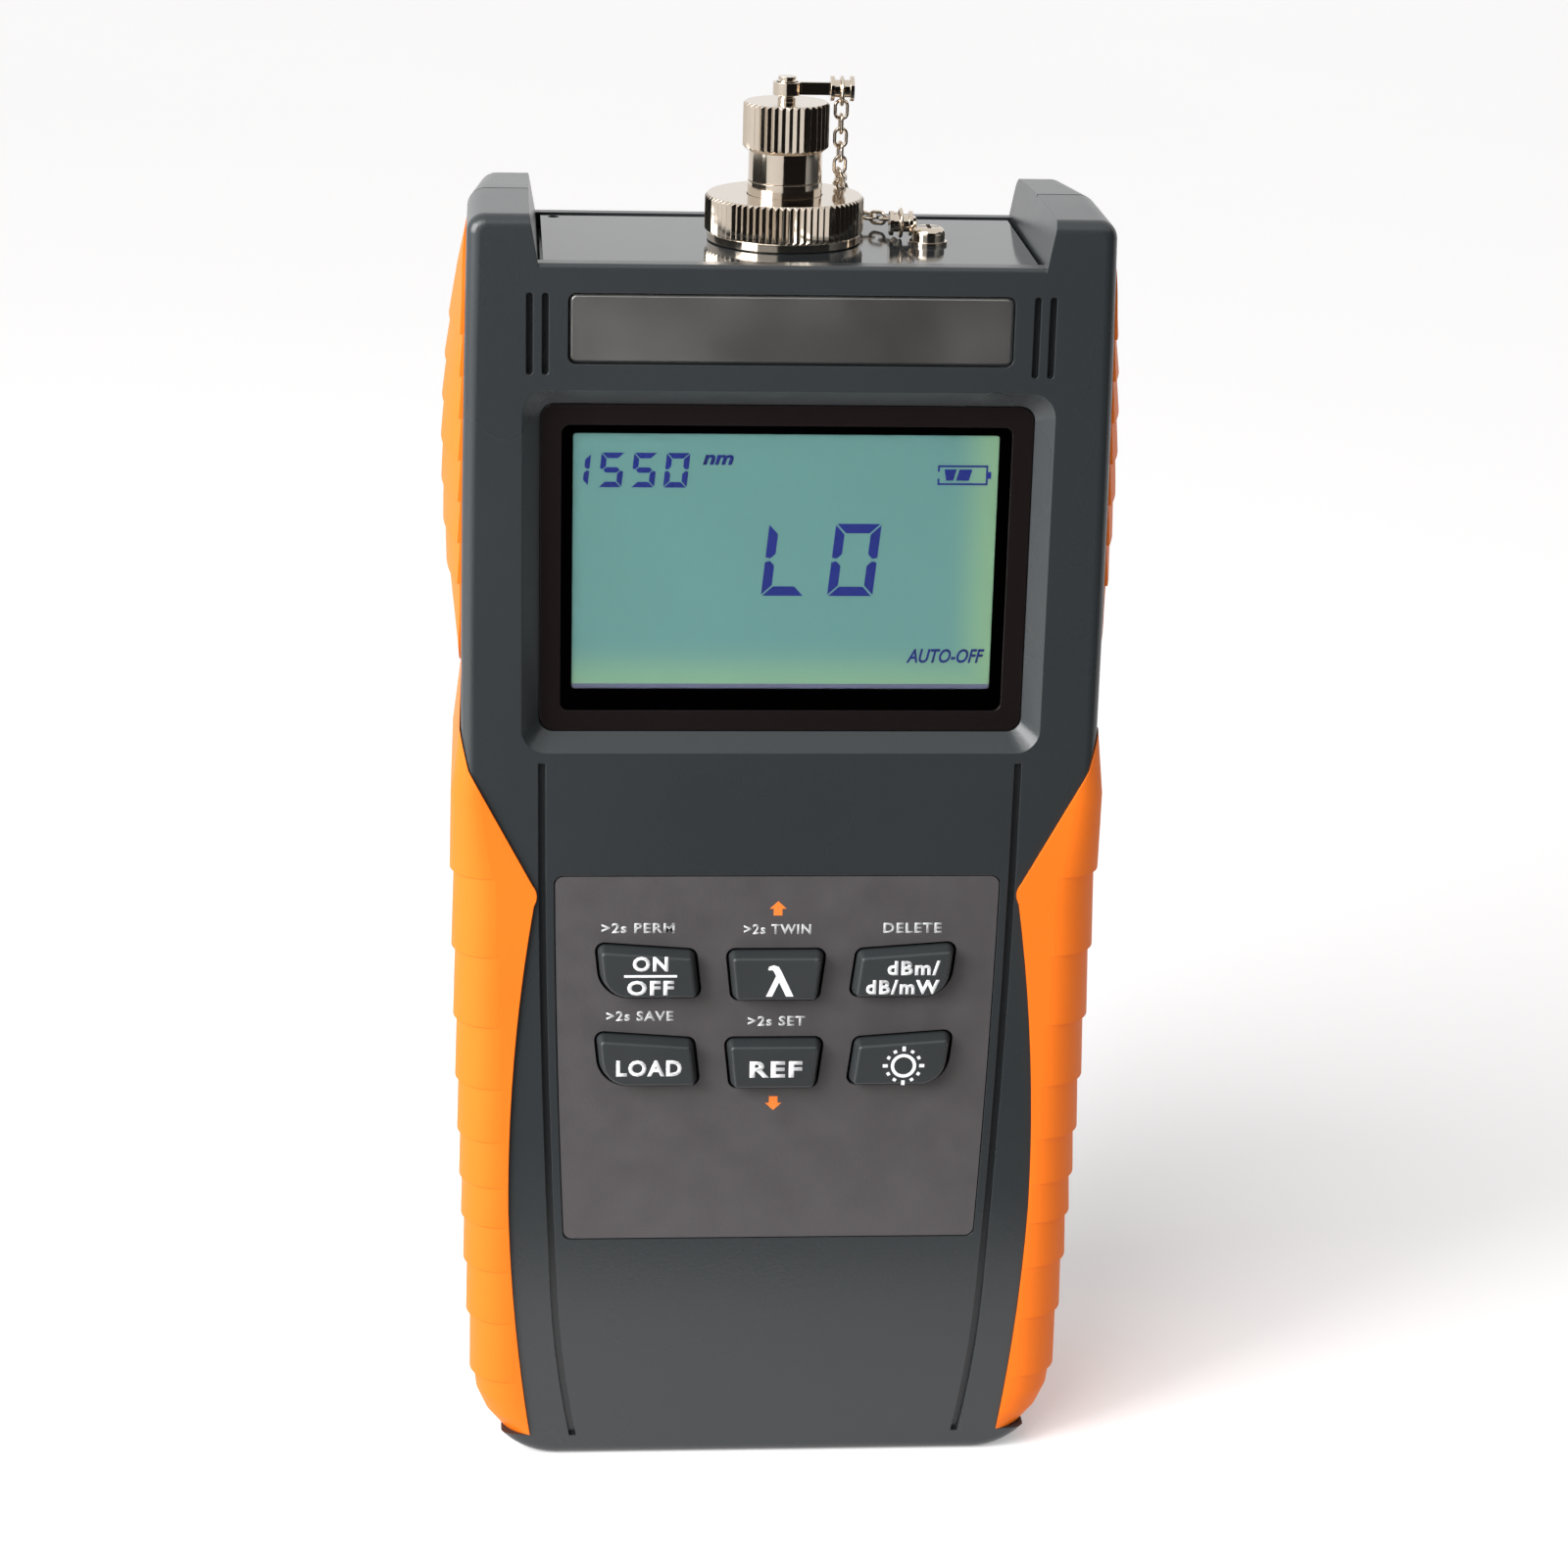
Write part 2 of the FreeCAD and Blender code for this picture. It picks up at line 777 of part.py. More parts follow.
def lower_pad_region():
    """Front view of the right-hand lower grip: a blunt point on the front face, long tail."""
    y = front_y - 5.0
    tip_up = V(pad_tip_x + 0.45, y, pad_tip_z + 0.95)
    tip_low = V(pad_tip_x + 0.3, y, pad_tip_z - 1.6)
    shoulder = V(pad_shoulder_x, y, pad_shoulder_z)
    waist = V(pad_waist_x, y, pad_waist_z)
    foot = V(pad_foot_x, y, pad_foot_z)
    far_low = V(reach, y, pad_foot_z)
    far_high = V(reach, y, pad_top)
    apex = V(waist_half + 0.4, y, pad_top)
    flank = V(waist_half - pad_flank_in, y, pad_flank_z)
    toe = V(waist_half - pad_toe_in, y, pad_toe_z)
    edges = [
        line(far_high, apex),
        arc(apex, V(waist_half - 0.15, y, (pad_top + pad_shoulder_z) / 2.0 + 0.2), shoulder),
        line(shoulder, tip_up),
        arc(tip_up, V(pad_tip_x, y, pad_tip_z), tip_low),
        arc(tip_low, flank, waist),
        arc(waist, toe, foot),
        line(foot, far_low),
        line(far_low, far_high),
    ]
    return slab(Part.Wire(edges), case_depth + 10.0)


def pad_core():
    """What stays of the case under the grips."""
    tall = -bottom_corner
    front = slab(case_outline(front_y + pad_sink, pad_sink, 0.0, tall, bottom_corner), front_shell_depth - pad_sink)
    rear = Part.makeLoft([rear_outline(part_y, pad_sink, tall, bottom_corner),
                          rear_outline(back_y - pad_sink, pad_sink, tall, bottom_corner)], True, True)
    front = front.makeChamfer(pad_core_bevel, edges_at(front, lambda p: abs(p.y - front_y - pad_sink) < 1e-4))
    rear = rear.makeChamfer(pad_core_bevel, edges_at(rear, lambda p: abs(p.y - back_y + pad_sink) < 1e-4))
    return front.fuse(rear)


def lower_grip(pocket):
    """Right-hand lower grip."""
    outer = scaled(scale_levels(), pad_top + 0.5, pad_foot_z - 0.5, scale_rise, lower_section)
    return outer.common(pocket)


def upper_section(z, flare):
    """A level slice through the upper grip: one shallow bow from front to back."""
    middle = (side_pad_top + side_pad_bottom) / 2.0
    run = (side_pad_top - side_pad_bottom) / 2.0
    bulge = side_pad_bulge * (1.0 - min(1.0, ((z - middle) / run) ** 2))
    y0 = front_y + side_pad_inset
    y1 = back_y - side_pad_inset
    draw = rear_draft * (y1 - part_y) / (back_y - part_y)
    front_x = case_half(z) + side_pad_edge + flare
    rear_x = front_x - draw
    mid_x = (front_x + rear_x) / 2.0 + draw / 4.0 + bulge
    inner = shoulder_half - 6.0
    return Part.Wire([
        line(V(inner, y0, z), V(front_x, y0, z)),
        arc(V(front_x, y0, z), V(mid_x, (y0 + y1) / 2.0, z), V(rear_x, y1, z)),
        line(V(rear_x, y1, z), V(inner, y1, z)),
        line(V(inner, y1, z), V(inner, y0, z)),
    ])


def side_pad_region():
    """Side view of the upper grip: a long rounded strip."""
    y0 = front_y + side_pad_inset
    y1 = back_y - side_pad_inset
    strip = box(shoulder_half - 6.0, reach, y0, y1, side_pad_bottom, side_pad_top)
    ends = [edge for edge in strip.Edges if edge.Length > reach - shoulder_half]
    along = [edge for edge in ends if abs(edge.Vertexes[0].Point.x - edge.Vertexes[1].Point.x) > 10.0]
    return strip.makeFillet(side_pad_end_round, along)


def upper_grip(pocket):
    """Right-hand upper grip."""
    middle = (side_pad_top + side_pad_bottom) / 2.0
    first = middle + side_scale_pitch * (side_scales - 1) / 2.0
    levels = [first - k * side_scale_pitch for k in range(side_scales)]
    outer = scaled(levels, side_pad_top, side_pad_bottom, side_scale_rise, upper_section)
    return outer.common(pocket)


# ================================================================ knurled turnings
def knurled(root, tip, teeth, low, high, chamfer_low, chamfer_high):
    """A round bar with straight V teeth, its ends turned down to a chamfer."""
    points = []
    for k in range(teeth):
        for part, radius in ((0.0, tip), (0.5, root)):
            angle = 2.0 * math.pi * (k + part) / teeth
            points.append(V(radius * math.cos(angle), radius * math.sin(angle), low))
    star = Part.Face(Part.makePolygon(points + [points[0]])).extrude(V(0, 0, high - low))
    profile = [V(0, 0, low), V(tip - chamfer_low, 0, low), V(tip, 0, low + chamfer_low),
               V(tip, 0, high - chamfer_high), V(tip - chamfer_high, 0, high), V(0, 0, high)]
    turned = Part.Face(Part.makePolygon(profile + [profile[0]])).revolve(V(0, 0, 0), V(0, 0, 1), 360)
    bar = star.common(turned)
    bar.translate(V(0, axis_y, 0))
    return bar


def stub(radius, low, high):
    """A round bar on the port's axis."""
    return rod(0, axis_y, low, radius, high - low)


def tube(outer, inner, low, high):
    return stub(outer, low, high).cut(stub(inner, low, high))


# ================================================================ port
def top_panel():
    """The plate between the ears, with a round hole for the port's threaded boss."""
    low = panel_top - panel_thick
    y0 = front_y + front_wall + panel_gap
    y1 = back_y - wall - panel_gap
    spread = (notch_half_high - notch_half_low) / (ear_top - lip_top)
    half = notch_half_low + (low - lip_top) * spread - panel_gap
    plate = box(-half, half, y0, y1, low, panel_top)
    plate = plate.cut(stub(boss_out_radius + fit_gap, low, panel_top))
    corner_hole = rod(-half + 1.6, y1 - 1.6, low, 0.7, panel_thick)
    screw_hole = rod(anchor_x, anchor_y, low, screw_shank + fit_gap, panel_thick)
    return plate.cut(corner_hole).cut(screw_hole)


def detector_housing():
    """The cup under the panel that holds the photodiode, its threaded boss up through the panel."""
    top = panel_top - panel_thick
    seat = top - housing_flange_thick
    boss_top = panel_top + boss_height
    cup = fuse([stub(housing_radius, top - housing_depth, top), stub(housing_flange, seat, top),
                stub(boss_out_radius, top, boss_top)])
    cup = cup.cut(stub(boss_in_radius, seat, boss_top))
    cup = cup.cut(stub(diode_flange + fit_gap, top - housing_depth + 1.5, seat))
    return cup.cut(stub(diode_radius, top - housing_depth, seat))


def photodiode():
    """A small windowed metal can with its leads."""
    seat = panel_top - panel_thick - housing_flange_thick
    base = seat - diode_height
    can = stub(diode_flange, base, base + 0.4).fuse(stub(diode_radius, base + 0.4, seat))
    can = can.cut(stub(diode_radius - 0.5, seat - 0.5, seat))
    leads = [rod(sign * 1.2, axis_y, base - 14.0, 0.25, 14.0) for sign in (-1.0, 1.0)]
    return fuse([can] + leads)


def fibre_adapter():
    """The screw-thread connector barrel with its ferrule holder and key slot."""
    foot = panel_top + boss_height
    body = fuse([stub(adapter_flange, foot, flange_top), stub(collar_radius, flange_top, collar_top),
                 stub(thread_radius, collar_top, thread_top)])
    body = body.cut(tube(adapter_bore, holder_radius, flange_top + 1.0, thread_top))
    body = body.cut(stub(adapter_bore, holder_top, thread_top))
    body = body.cut(stub(sleeve_out + fit_gap, flange_top, holder_top))
    body = body.cut(stub(light_hole, foot, flange_top))
    slot = box(-key_slot / 2.0, key_slot / 2.0, axis_y - thread_radius - 1.0, axis_y - holder_radius - 0.3,
               holder_top - 1.5, thread_top)
    return body.cut(slot)


def ferrule_sleeve():
    """The split alignment sleeve the fibre's ferrule slides into."""
    return tube(sleeve_out, sleeve_bore, flange_top, sleeve_top)


def ring_nut():
    """The knurled union nut that clamps the adapter to the boss."""
    rim_top = panel_top + nut_seat + nut_rim
    low = panel_top + nut_seat
    nut = stub(nut_rim_radius, low, rim_top).fuse(
        knurled(nut_root, nut_radius, nut_teeth, rim_top, nut_top, nut_chamfer, nut_chamfer))
    nut = nut.cut(stub(boss_out_radius + thread_clear, low, nut_top - nut_lip))
    return nut.cut(stub(collar_radius + fit_gap, low, nut_top))


def dust_cap():
    """The knurled screw cap, with a turned post on top for its strap."""
    low = collar_top + cap_seat
    cap = stub(skirt_radius, low, cap_low).fuse(
        knurled(cap_root, cap_radius, cap_teeth, cap_low, cap_high, cap_chamfer, cap_top_chamfer))
    post_top = cap_high + post_cap_height
    post = stub(post_cap_radius, cap_high, post_top)
    for level in (strap_low - 0.35, strap_low + strap_height + 0.12):
        post = post.cut(tube(post_cap_radius + 1.0, post_cap_radius - 0.2, cap_high + level, cap_high + level + 0.2))
    cap = cap.fuse(post)
    return cap.cut(stub(thread_radius + skirt_clear, low, cap_high - cap_roof))


# ================================================================ cap strap, chain and anchor
def cap_strap():
    """A flat band that loops loosely round the post and holds the chain's spool."""
    low = cap_high + strap_low
    high = low + strap_height
    inner = post_cap_radius + strap_clear
    loop = stub(inner + strap_thick, low, high)
    near = spool_x - spool_length / 2.0
    blade = box(0.0, near, axis_y - strap_thick, axis_y + strap_thick, low, high)
    return loop.fuse(blade).cut(stub(inner, low, high))


def spool(x, y, z):
    """A small turned spool lying along X."""
    start = x - spool_length / 2.0
    along = V(1, 0, 0)
    return fuse([
        rod(start, y, z, spool_barrel, spool_length, along),
        rod(start, y, z, spool_flange, spool_flange_thick, along),
        rod(start + spool_length - spool_flange_thick, y, z, spool_flange, spool_flange_thick, along),
    ])


def chain_path():
    """The chain's run: straight stretches and tangent bends, as measured edges."""
    corners = [
        V(spool_x, axis_y, spool_z - hanger_drop - hanger_inner + hanger_clear),
        V(spool_x, axis_y, nut_top + chain_lift),
        V(spool_x + 0.9, axis_y + nut_radius - 0.3, nut_top + chain_lift),
        V(spool_x + 2.3, axis_y + nut_radius + 1.2, panel_top + chain_lift),
        V(anchor_spool_x, hanger_y + hanger_inner + chain_bend, anchor_spool_z - 0.4),
        V(anchor_spool_x, hanger_y + hanger_inner - hanger_clear, anchor_spool_z),
    ]
    edges = []
    start = corners[0]
    for before, here, after in zip(corners[:-2], corners[1:-1], corners[2:]):
        back = (before - here).normalize()
        ahead = (after - here).normalize()
        half = math.acos(back.dot(ahead)) / 2.0
        run = min(chain_bend / math.tan(half), (after - here).Length * 0.48, (start - here).Length * 0.98)
        inward = (back + ahead).normalize()
        radius = run * math.tan(half)
        centre = here + inward * (radius / math.sin(half))
        edges.append(line(start, here + back * run))
        edges.append(arc(here + back * run, centre - inward * radius, here + ahead * run))
        start = here + ahead * run
    edges.append(line(start, corners[-1]))
    return edges


def along_path(edges, distance):
    """The point at a distance along the run."""
    for edge in edges:
        if distance <= edge.Length or edge is edges[-1]:
            return edge.valueAt(edge.getParameterByLength(min(distance, edge.Length)))
        distance -= edge.Length


def oval(length, width, y):
    """A long oval with straight sides, its ends made of short straight facets."""
    radius = width / 2.0
    points = []
    for end in (1.0, -1.0):
        for part in range(link_facets + 1):
            angle = math.pi * part / link_facets + (0.0 if end > 0.0 else math.pi)
            points.append(V(radius * math.cos(angle), y, end * (length / 2.0 - radius) + radius * math.sin(angle)))
    return Part.makePolygon(points + [points[0]])


def link_shape(length, width, wire):
    """An oval link lying in the XZ plane, centred on the origin, long way up."""
    outer = oval(length, width, -wire / 2.0)
    return slab(outer, wire).cut(slab(oval(length - 2.0 * wire, width - 2.0 * wire, -wire / 2.0), wire))


def placed(shape, at, way, side):
    """The shape moved so that its Z runs along a direction and its X to a side."""
    copy = shape.copy()
    copy.Placement = FreeCAD.Placement(at, FreeCAD.Rotation(side, way.cross(side), way, "ZXY"))
    return copy


def hanger(x, y, z):
    """A round ring that hangs on a spool, in the plane across it."""
    outer = rod(x - link_wire / 2.0, y, z, hanger_inner + link_wire, link_wire, V(1, 0, 0))
    return outer.cut(rod(x - link_wire / 2.0, y, z, hanger_inner, link_wire, V(1, 0, 0)))


def chain():
    """Both hanger rings and the links between them."""
    edges = chain_path()
    total = sum(edge.Length for edge in edges)
    count = int(round(total / link_pitch))
    pitch = total / count
    shape = link_shape(pitch + link_clear + 2.0 * link_wire, link_width, link_wire)
    links = [hanger(spool_x, axis_y, spool_z - hanger_drop), hanger(anchor_spool_x, hanger_y, anchor_spool_z)]
    middles = []
    side = V(1, 0, 0)
    for index in range(count):
        start = along_path(edges, index * pitch)
        end = along_path(edges, (index + 1) * pitch)
        way = (end - start).normalize()
        side = (side - way * side.dot(way)).normalize()
        middles.append(((start + end) / 2.0, way, side))
    level = math.degrees(math.atan2(way.cross(side).x, side.x))
    twist = 90.0 + ((level - 90.0 * (count - 1) + 90.0) % 180.0 - 90.0) / (count - 1)
    for index, (middle, way, side) in enumerate(middles):
        angle = math.radians(twist * index)
        links.append(placed(shape, middle, way, side * math.cos(angle) + way.cross(side) * math.sin(angle)))
    return Part.makeCompound(links)


def chain_anchor():
    """The washer under the panel screw, its arm and the cheek that holds the lower spool."""
    top = panel_top + anchor_thick
    washer = rod(anchor_x, anchor_y, panel_top, anchor_washer, anchor_thick)
    cheek_x = anchor_spool_x + spool_length / 2.0
    arm = box(cheek_x, anchor_x + 0.8, anchor_y, anchor_spool_y + 0.8, panel_top, top)
    cheek = box(cheek_x, cheek_x + anchor_thick, anchor_spool_y - 0.8, anchor_spool_y + 0.8, panel_top,
                anchor_spool_z + 0.8)
    strap = fuse([washer, arm, cheek])
    return strap.cut(rod(anchor_x, anchor_y, panel_top, screw_shank + fit_gap, anchor_thick))


def panel_screw():
    """A cross-slotted pan-head screw."""
    seat = panel_top + anchor_thick
    head = rod(anchor_x, anchor_y, seat, screw_head, screw_dome)
    rim = [edge for edge in head.Edges if edge.Length > 6.0 and edge.BoundBox.ZMin > seat + screw_dome - 1e-3]
    head = head.makeFillet(screw_dome * 0.5, rim)
    shank = rod(anchor_x, anchor_y, seat - screw_length, screw_shank, screw_length)
    top = seat + screw_dome
    arm = screw_head * 0.62
    cross = [box(anchor_x - arm, anchor_x + arm, anchor_y - cross_width / 2.0, anchor_y + cross_width / 2.0,
                 top - cross_depth, top + 1.0),
             box(anchor_x - cross_width / 2.0, anchor_x + cross_width / 2.0, anchor_y - arm, anchor_y + arm,
                 top - cross_depth, top + 1.0)]
    return head.fuse(shank).cut(cross[0]).cut(cross[1])


# ================================================================ battery bay
def bay_block(grow, y0, y1):
    """The room for the cells, grown sideways and endways."""
    return box(-bay_half - grow, bay_half + grow, y0, y1, bay_low - grow, bay_high + grow)


def door_outline(y, shrink):
    return rounded_box(-bay_half - door_lip + shrink, bay_half + door_lip - shrink, bay_low - door_lip + shrink,
                       bay_high + door_lip - shrink, door_corner, y)


def battery_door():
    """The flush door with a plug that locates it and ribs to grip it by."""
    skin = slab(door_outline(back_y - door_skin, door_gap), door_skin)
    inner = bay_block(-door_gap, back_y - door_skin - door_plug, back_y - door_skin)
    hollow = bay_block(-door_gap - bay_wall, back_y - door_skin - door_plug, back_y - door_skin)
    ribs = []
    for index in range(door_ribs):
        z = bay_high - 6.0 - index * door_rib_pitch
        ribs.append(box(-door_rib_half, door_rib_half, back_y, back_y + door_rib_height, z - door_rib_width, z))
    return fuse([skin, inner.cut(hollow)] + ribs)


def battery_cells():
    """Three round cells, the middle one upside down."""
    cells = []
    for index in range(cell_count):
        x = (index - (cell_count - 1) / 2.0) * cell_pitch
        if index % 2 == 0:
            low = bay_low + contact_thick + spring_reach
            nub_low = low + cell_length
        else:
            low = bay_low + contact_thick + cell_nub
            nub_low = low - cell_nub
        body = rod(x, cell_y, low, cell_radius, cell_length)
        rims = [edge for edge in body.Edges if abs(edge.Length - 2.0 * math.pi * cell_radius) < 0.01]
        body = body.makeChamfer(cell_bevel, rims)
        cells.append(body.fuse(rod(x, cell_y, nub_low, cell_nub_radius, cell_nub)))
    return Part.makeCompound(cells)


def contact_leaf(x, z, sign):
    """A plate against the end wall; at the flat end of a cell a bowed leaf presses on it."""
    half = contact_height / 2.0
    plate = box(x - half, x + half, cell_y - half, cell_y + half, min(z, z + sign * contact_thick),
                max(z, z + sign * contact_thick))
    return plate


def contact_spring(x, z, sign):
    """The bowed leaf between a plate and the cell."""
    base = z + sign * contact_thick
    tip = base + sign * spring_reach
    half = contact_height / 2.0
    outer = arc(V(x - half, cell_y, base), V(x, cell_y, tip), V(x + half, cell_y, base))
    inner = arc(V(x + half - contact_thick, cell_y, base), V(x, cell_y, tip - sign * contact_thick),
                V(x - half + contact_thick, cell_y, base))
    ends = [line(V(x + half, cell_y, base), V(x + half - contact_thick, cell_y, base)),
            line(V(x - half + contact_thick, cell_y, base), V(x - half, cell_y, base))]
    wire = Part.Wire([outer, ends[0], inner, ends[1]])
    leaf = Part.Face(wire).extrude(V(0, spring_width, 0))
    leaf.translate(V(0, -spring_width / 2.0, 0))
    return leaf


def battery_contacts():
    """Contact plates and springs at both ends of every cell."""
    pieces = []
    for index in range(cell_count):
        x = (index - (cell_count - 1) / 2.0) * cell_pitch
        up = index % 2 == 0
        low_plate = contact_leaf(x, bay_low, 1.0)
        high_plate = contact_leaf(x, bay_high, -1.0)
        if up:
            low_plate = low_plate.fuse(contact_spring(x, bay_low, 1.0))
        else:
            high_plate = high_plate.fuse(contact_spring(x, bay_high, -1.0))
        pieces += [low_plate, high_plate]
    return Part.makeCompound(pieces)


# ================================================================ inside
def display_bezel():
    y = front_y + dish_depth
    half = dish_half - dish_slope - lens_gap
    low = dish_low + dish_slope + lens_gap
    high = dish_high - dish_slope - lens_gap
    outer = slab(rounded_box(-half, half, low, high, bezel_corner, y), bezel_thick)
    inner = slab(rounded_box(-half + bezel_width, half - bezel_width, low + bezel_width, high - bezel_width,
                             bezel_corner * 0.6, y), bezel_thick)
    return outer.cut(inner)


def lens_plate(depth, thick):
    half = dish_half - dish_slope - lens_gap
    wire = rounded_box(-half, half, dish_low + dish_slope + lens_gap, dish_high - dish_slope - lens_gap,
                       bezel_corner, front_y + depth)
    return slab(wire, thick)


def display_mask():
    """The dark print on the back of the lens, open where the display shows."""
    depth = dish_depth + bezel_thick + lens_thick
    plate = lens_plate(depth, mask_thick)
    return plate.cut(slab(rounded_box(-view_half, view_half, view_low, view_high, 0.4, front_y + depth), mask_thick))


def lcd_box(depth, thick, shrink):
    """A block that fits behind the display window."""
    half = dish_half - dish_slope - ledge_width - lcd_gap - shrink
    y = front_y + depth
    return box(-half, half, y, y + thick, dish_low + dish_slope + ledge_width + lcd_gap + shrink,
               dish_high - dish_slope - ledge_width - lcd_gap - shrink)


def backlight():
    """The light guide and frame behind the glass, with the strips that join it to the board."""
    start = lcd_depth + lcd_thick
    block = lcd_box(start, board_depth - start, 0.0)
    return block.cut(lcd_box(start + 1.0, board_depth - start - 1.0, 2.0))


def circuit_board():
    board = box(-board_half, board_half, board_y, board_y + board_thick, board_low, board_high)
    for x, z in posts:
        for sign in (-1.0, 1.0):
            board = board.cut(rod(sign * x, board_y, z, board_screw_radius + fit_gap, board_thick, V(0, 1, 0)))
    back = board_y + board_thick
    chips = [box(x - chip_half, x + chip_half, back, back + chip_height, z - chip_half, z + chip_half)
             for x, z in chip_places]
    return fuse([board] + chips)


def board_screws():
    screws = []
    for x, z in posts:
        for sign in (-1.0, 1.0):
            back = board_y + board_thick
            screws.append(rod(sign * x, back, z, board_head_radius, board_head_height, V(0, 1, 0)).fuse(
                rod(sign * x, back - board_screw_length, z, board_screw_radius, board_screw_length, V(0, 1, 0))))
    return Part.makeCompound(screws)


def case_screws():
    """Four screws driven in from the back."""
    screws = []
    for x, z in case_bosses:
        for sign in (-1.0, 1.0):
            seat = back_y - counterbore_depth
            head = rod(sign * x, seat, z, case_head_radius, case_head_height, V(0, 1, 0))
            shank = rod(sign * x, seat - case_screw_length, z, case_shank, case_screw_length, V(0, 1, 0))
            top = seat + case_head_height
            cross = [box(sign * x - 1.3, sign * x + 1.3, top - 0.8, top + 1.0, z - 0.3, z + 0.3),
                     box(sign * x - 0.3, sign * x + 0.3, top - 0.8, top + 1.0, z - 1.3, z + 1.3)]
            screws.append(head.fuse(shank).cut(cross[0]).cut(cross[1]))
    return Part.makeCompound(screws)


# ================================================================ shells
def both_sides(x, y, z, radius, length):
    """The same round bar along Y on the left and on the right."""
    return [rod(sign * x, y, z, radius, length, V(0, 1, 0)) for sign in (-1.0, 1.0)]


def front_shell(block, room, pockets):
    shell = block.cut(room).cut(notch())
    walls = ear_inner_walls(front_y + front_wall - 0.5, part_y).common(block)
    adds = [walls, display_frame()]
    for x, z in case_bosses:
        adds += both_sides(x, front_y + front_wall - 0.5, z, boss_radius, front_shell_depth - front_wall + 0.5)
    for x, z in posts:
        adds += both_sides(x, front_y + front_wall - 0.5, z, post_radius, board_depth - front_wall + 0.5)
    shell = fuse([shell] + [add.common(block) for add in adds])
    shell = shell.cut(notch())
    cuts = [display_dish(), window_opening()]
    for x, z in case_bosses:
        cuts += both_sides(x, part_y - case_pilot_depth, z, case_pilot, case_pilot_depth)
    for x, z in posts:
        cuts += both_sides(x, board_y - board_pilot_depth, z, board_pilot, board_pilot_depth)
    cuts.append(slab(rounded_box(-plate_half, plate_half, plate_low, plate_high, plate_corner, front_y - 1.0),
                     1.0 + plate_recess))
    cuts += vents()
    cuts += [long_groove(), mirrored(long_groove())]
    cuts.append(overlay_block(front_y - 1.0, 1.0 + overlay_recess))
    cuts += key_openings(front_y - 1.0, front_wall + 1.0)
    for cut in cuts:
        shell = shell.cut(cut)
    lip = edges_at(shell, lambda p: abs(p.y - front_y) < 1e-3 and abs(p.z - lip_top) < 1e-3)
    shell = shell.makeFillet(lip_round, lip)
    shell = shell.cut(seam())
    shell = shell.fuse(tongue_ring(fit_gap).cut(notch_room()))
    for pocket in pockets:
        shell = shell.cut(pocket)
    return shell.removeSplitter()


def notch_room():
    """Where the two shells' joint is left plain: under and round the top panel."""
    half = notch_half_high + wall + 1.0
    return box(-half, half, part_y - 1.0, part_y + tongue_height + 1.0, panel_top - panel_thick - 6.0, ear_top + 1.0)


def rear_shell(block, room, pockets):
    shell = block.cut(room).cut(notch())
    walls = ear_inner_walls(part_y, back_y - wall + 0.5).common(block)
    tub = bay_block(bay_wall, bay_front - bay_wall, back_y - 1.0)
    adds = [walls, tub]
    for x, z in case_bosses:
        adds += both_sides(x, part_y, z, boss_radius + 0.4, case_depth - front_shell_depth)
    shell = fuse([shell] + [walls.common(block), tub] + [add.common(block) for add in adds[2:]])
    shell = shell.cut(notch())
    cuts = [bay_block(0.0, bay_front, back_y + 1.0), slab(door_outline(back_y - door_skin, 0.0), door_skin + 1.0)]
    for x, z in case_bosses:
        cuts += both_sides(x, part_y, z, case_shank_hole, case_depth - front_shell_depth)
        cuts += both_sides(x, back_y - counterbore_depth, z, counterbore, counterbore_depth + 1.0)
    thumb_z = bay_high + door_lip + thumb_radius - 2.0
    cuts.append(rod(-thumb_half, back_y + thumb_radius - thumb_depth, thumb_z - thumb_radius + 1.0, thumb_radius,
                    2.0 * thumb_half, V(1, 0, 0)))
    for cut in cuts:
        shell = shell.cut(cut)
    lip = edges_at(shell, lambda p: abs(p.y - back_y) < 1e-3 and abs(p.z - lip_top) < 1e-3)
    shell = shell.makeFillet(lip_round, lip)
    shell = shell.cut(seam()).cut(tongue_ring(0.0).cut(notch_room()))
    for pocket in pockets:
        shell = shell.cut(pocket)
    return shell.removeSplitter()


# ================================================================ everything, one node per file
front_block, rear_block = case_block()
front_room, rear_room = case_hollow()
core = pad_core()
lower_pocket = lower_pad_region().cut(core)
upper_pocket = side_pad_region().cut(core)
right_lower = lower_grip(lower_pocket)
right_upper = upper_grip(upper_pocket)
pockets = [lower_pocket, mirrored(lower_pocket), upper_pocket, mirrored(upper_pocket)]

overlay = overlay_block(front_y + overlay_recess - overlay_thick, overlay_thick, overlay_gap)
for opening in key_openings(front_y - 1.0, 2.0):
    overlay = overlay.cut(opening)

name_plate = slab(rounded_box(-plate_half + plate_gap, plate_half - plate_gap, plate_low + plate_gap,
                              plate_high - plate_gap, plate_corner - plate_gap,
                              front_y + plate_recess - plate_thick), plate_thick)
plate_rim = edges_at(name_plate, lambda p: abs(p.y - front_y - plate_recess + plate_thick) < 1e-4)
name_plate = name_plate.makeChamfer(0.35, plate_rim)

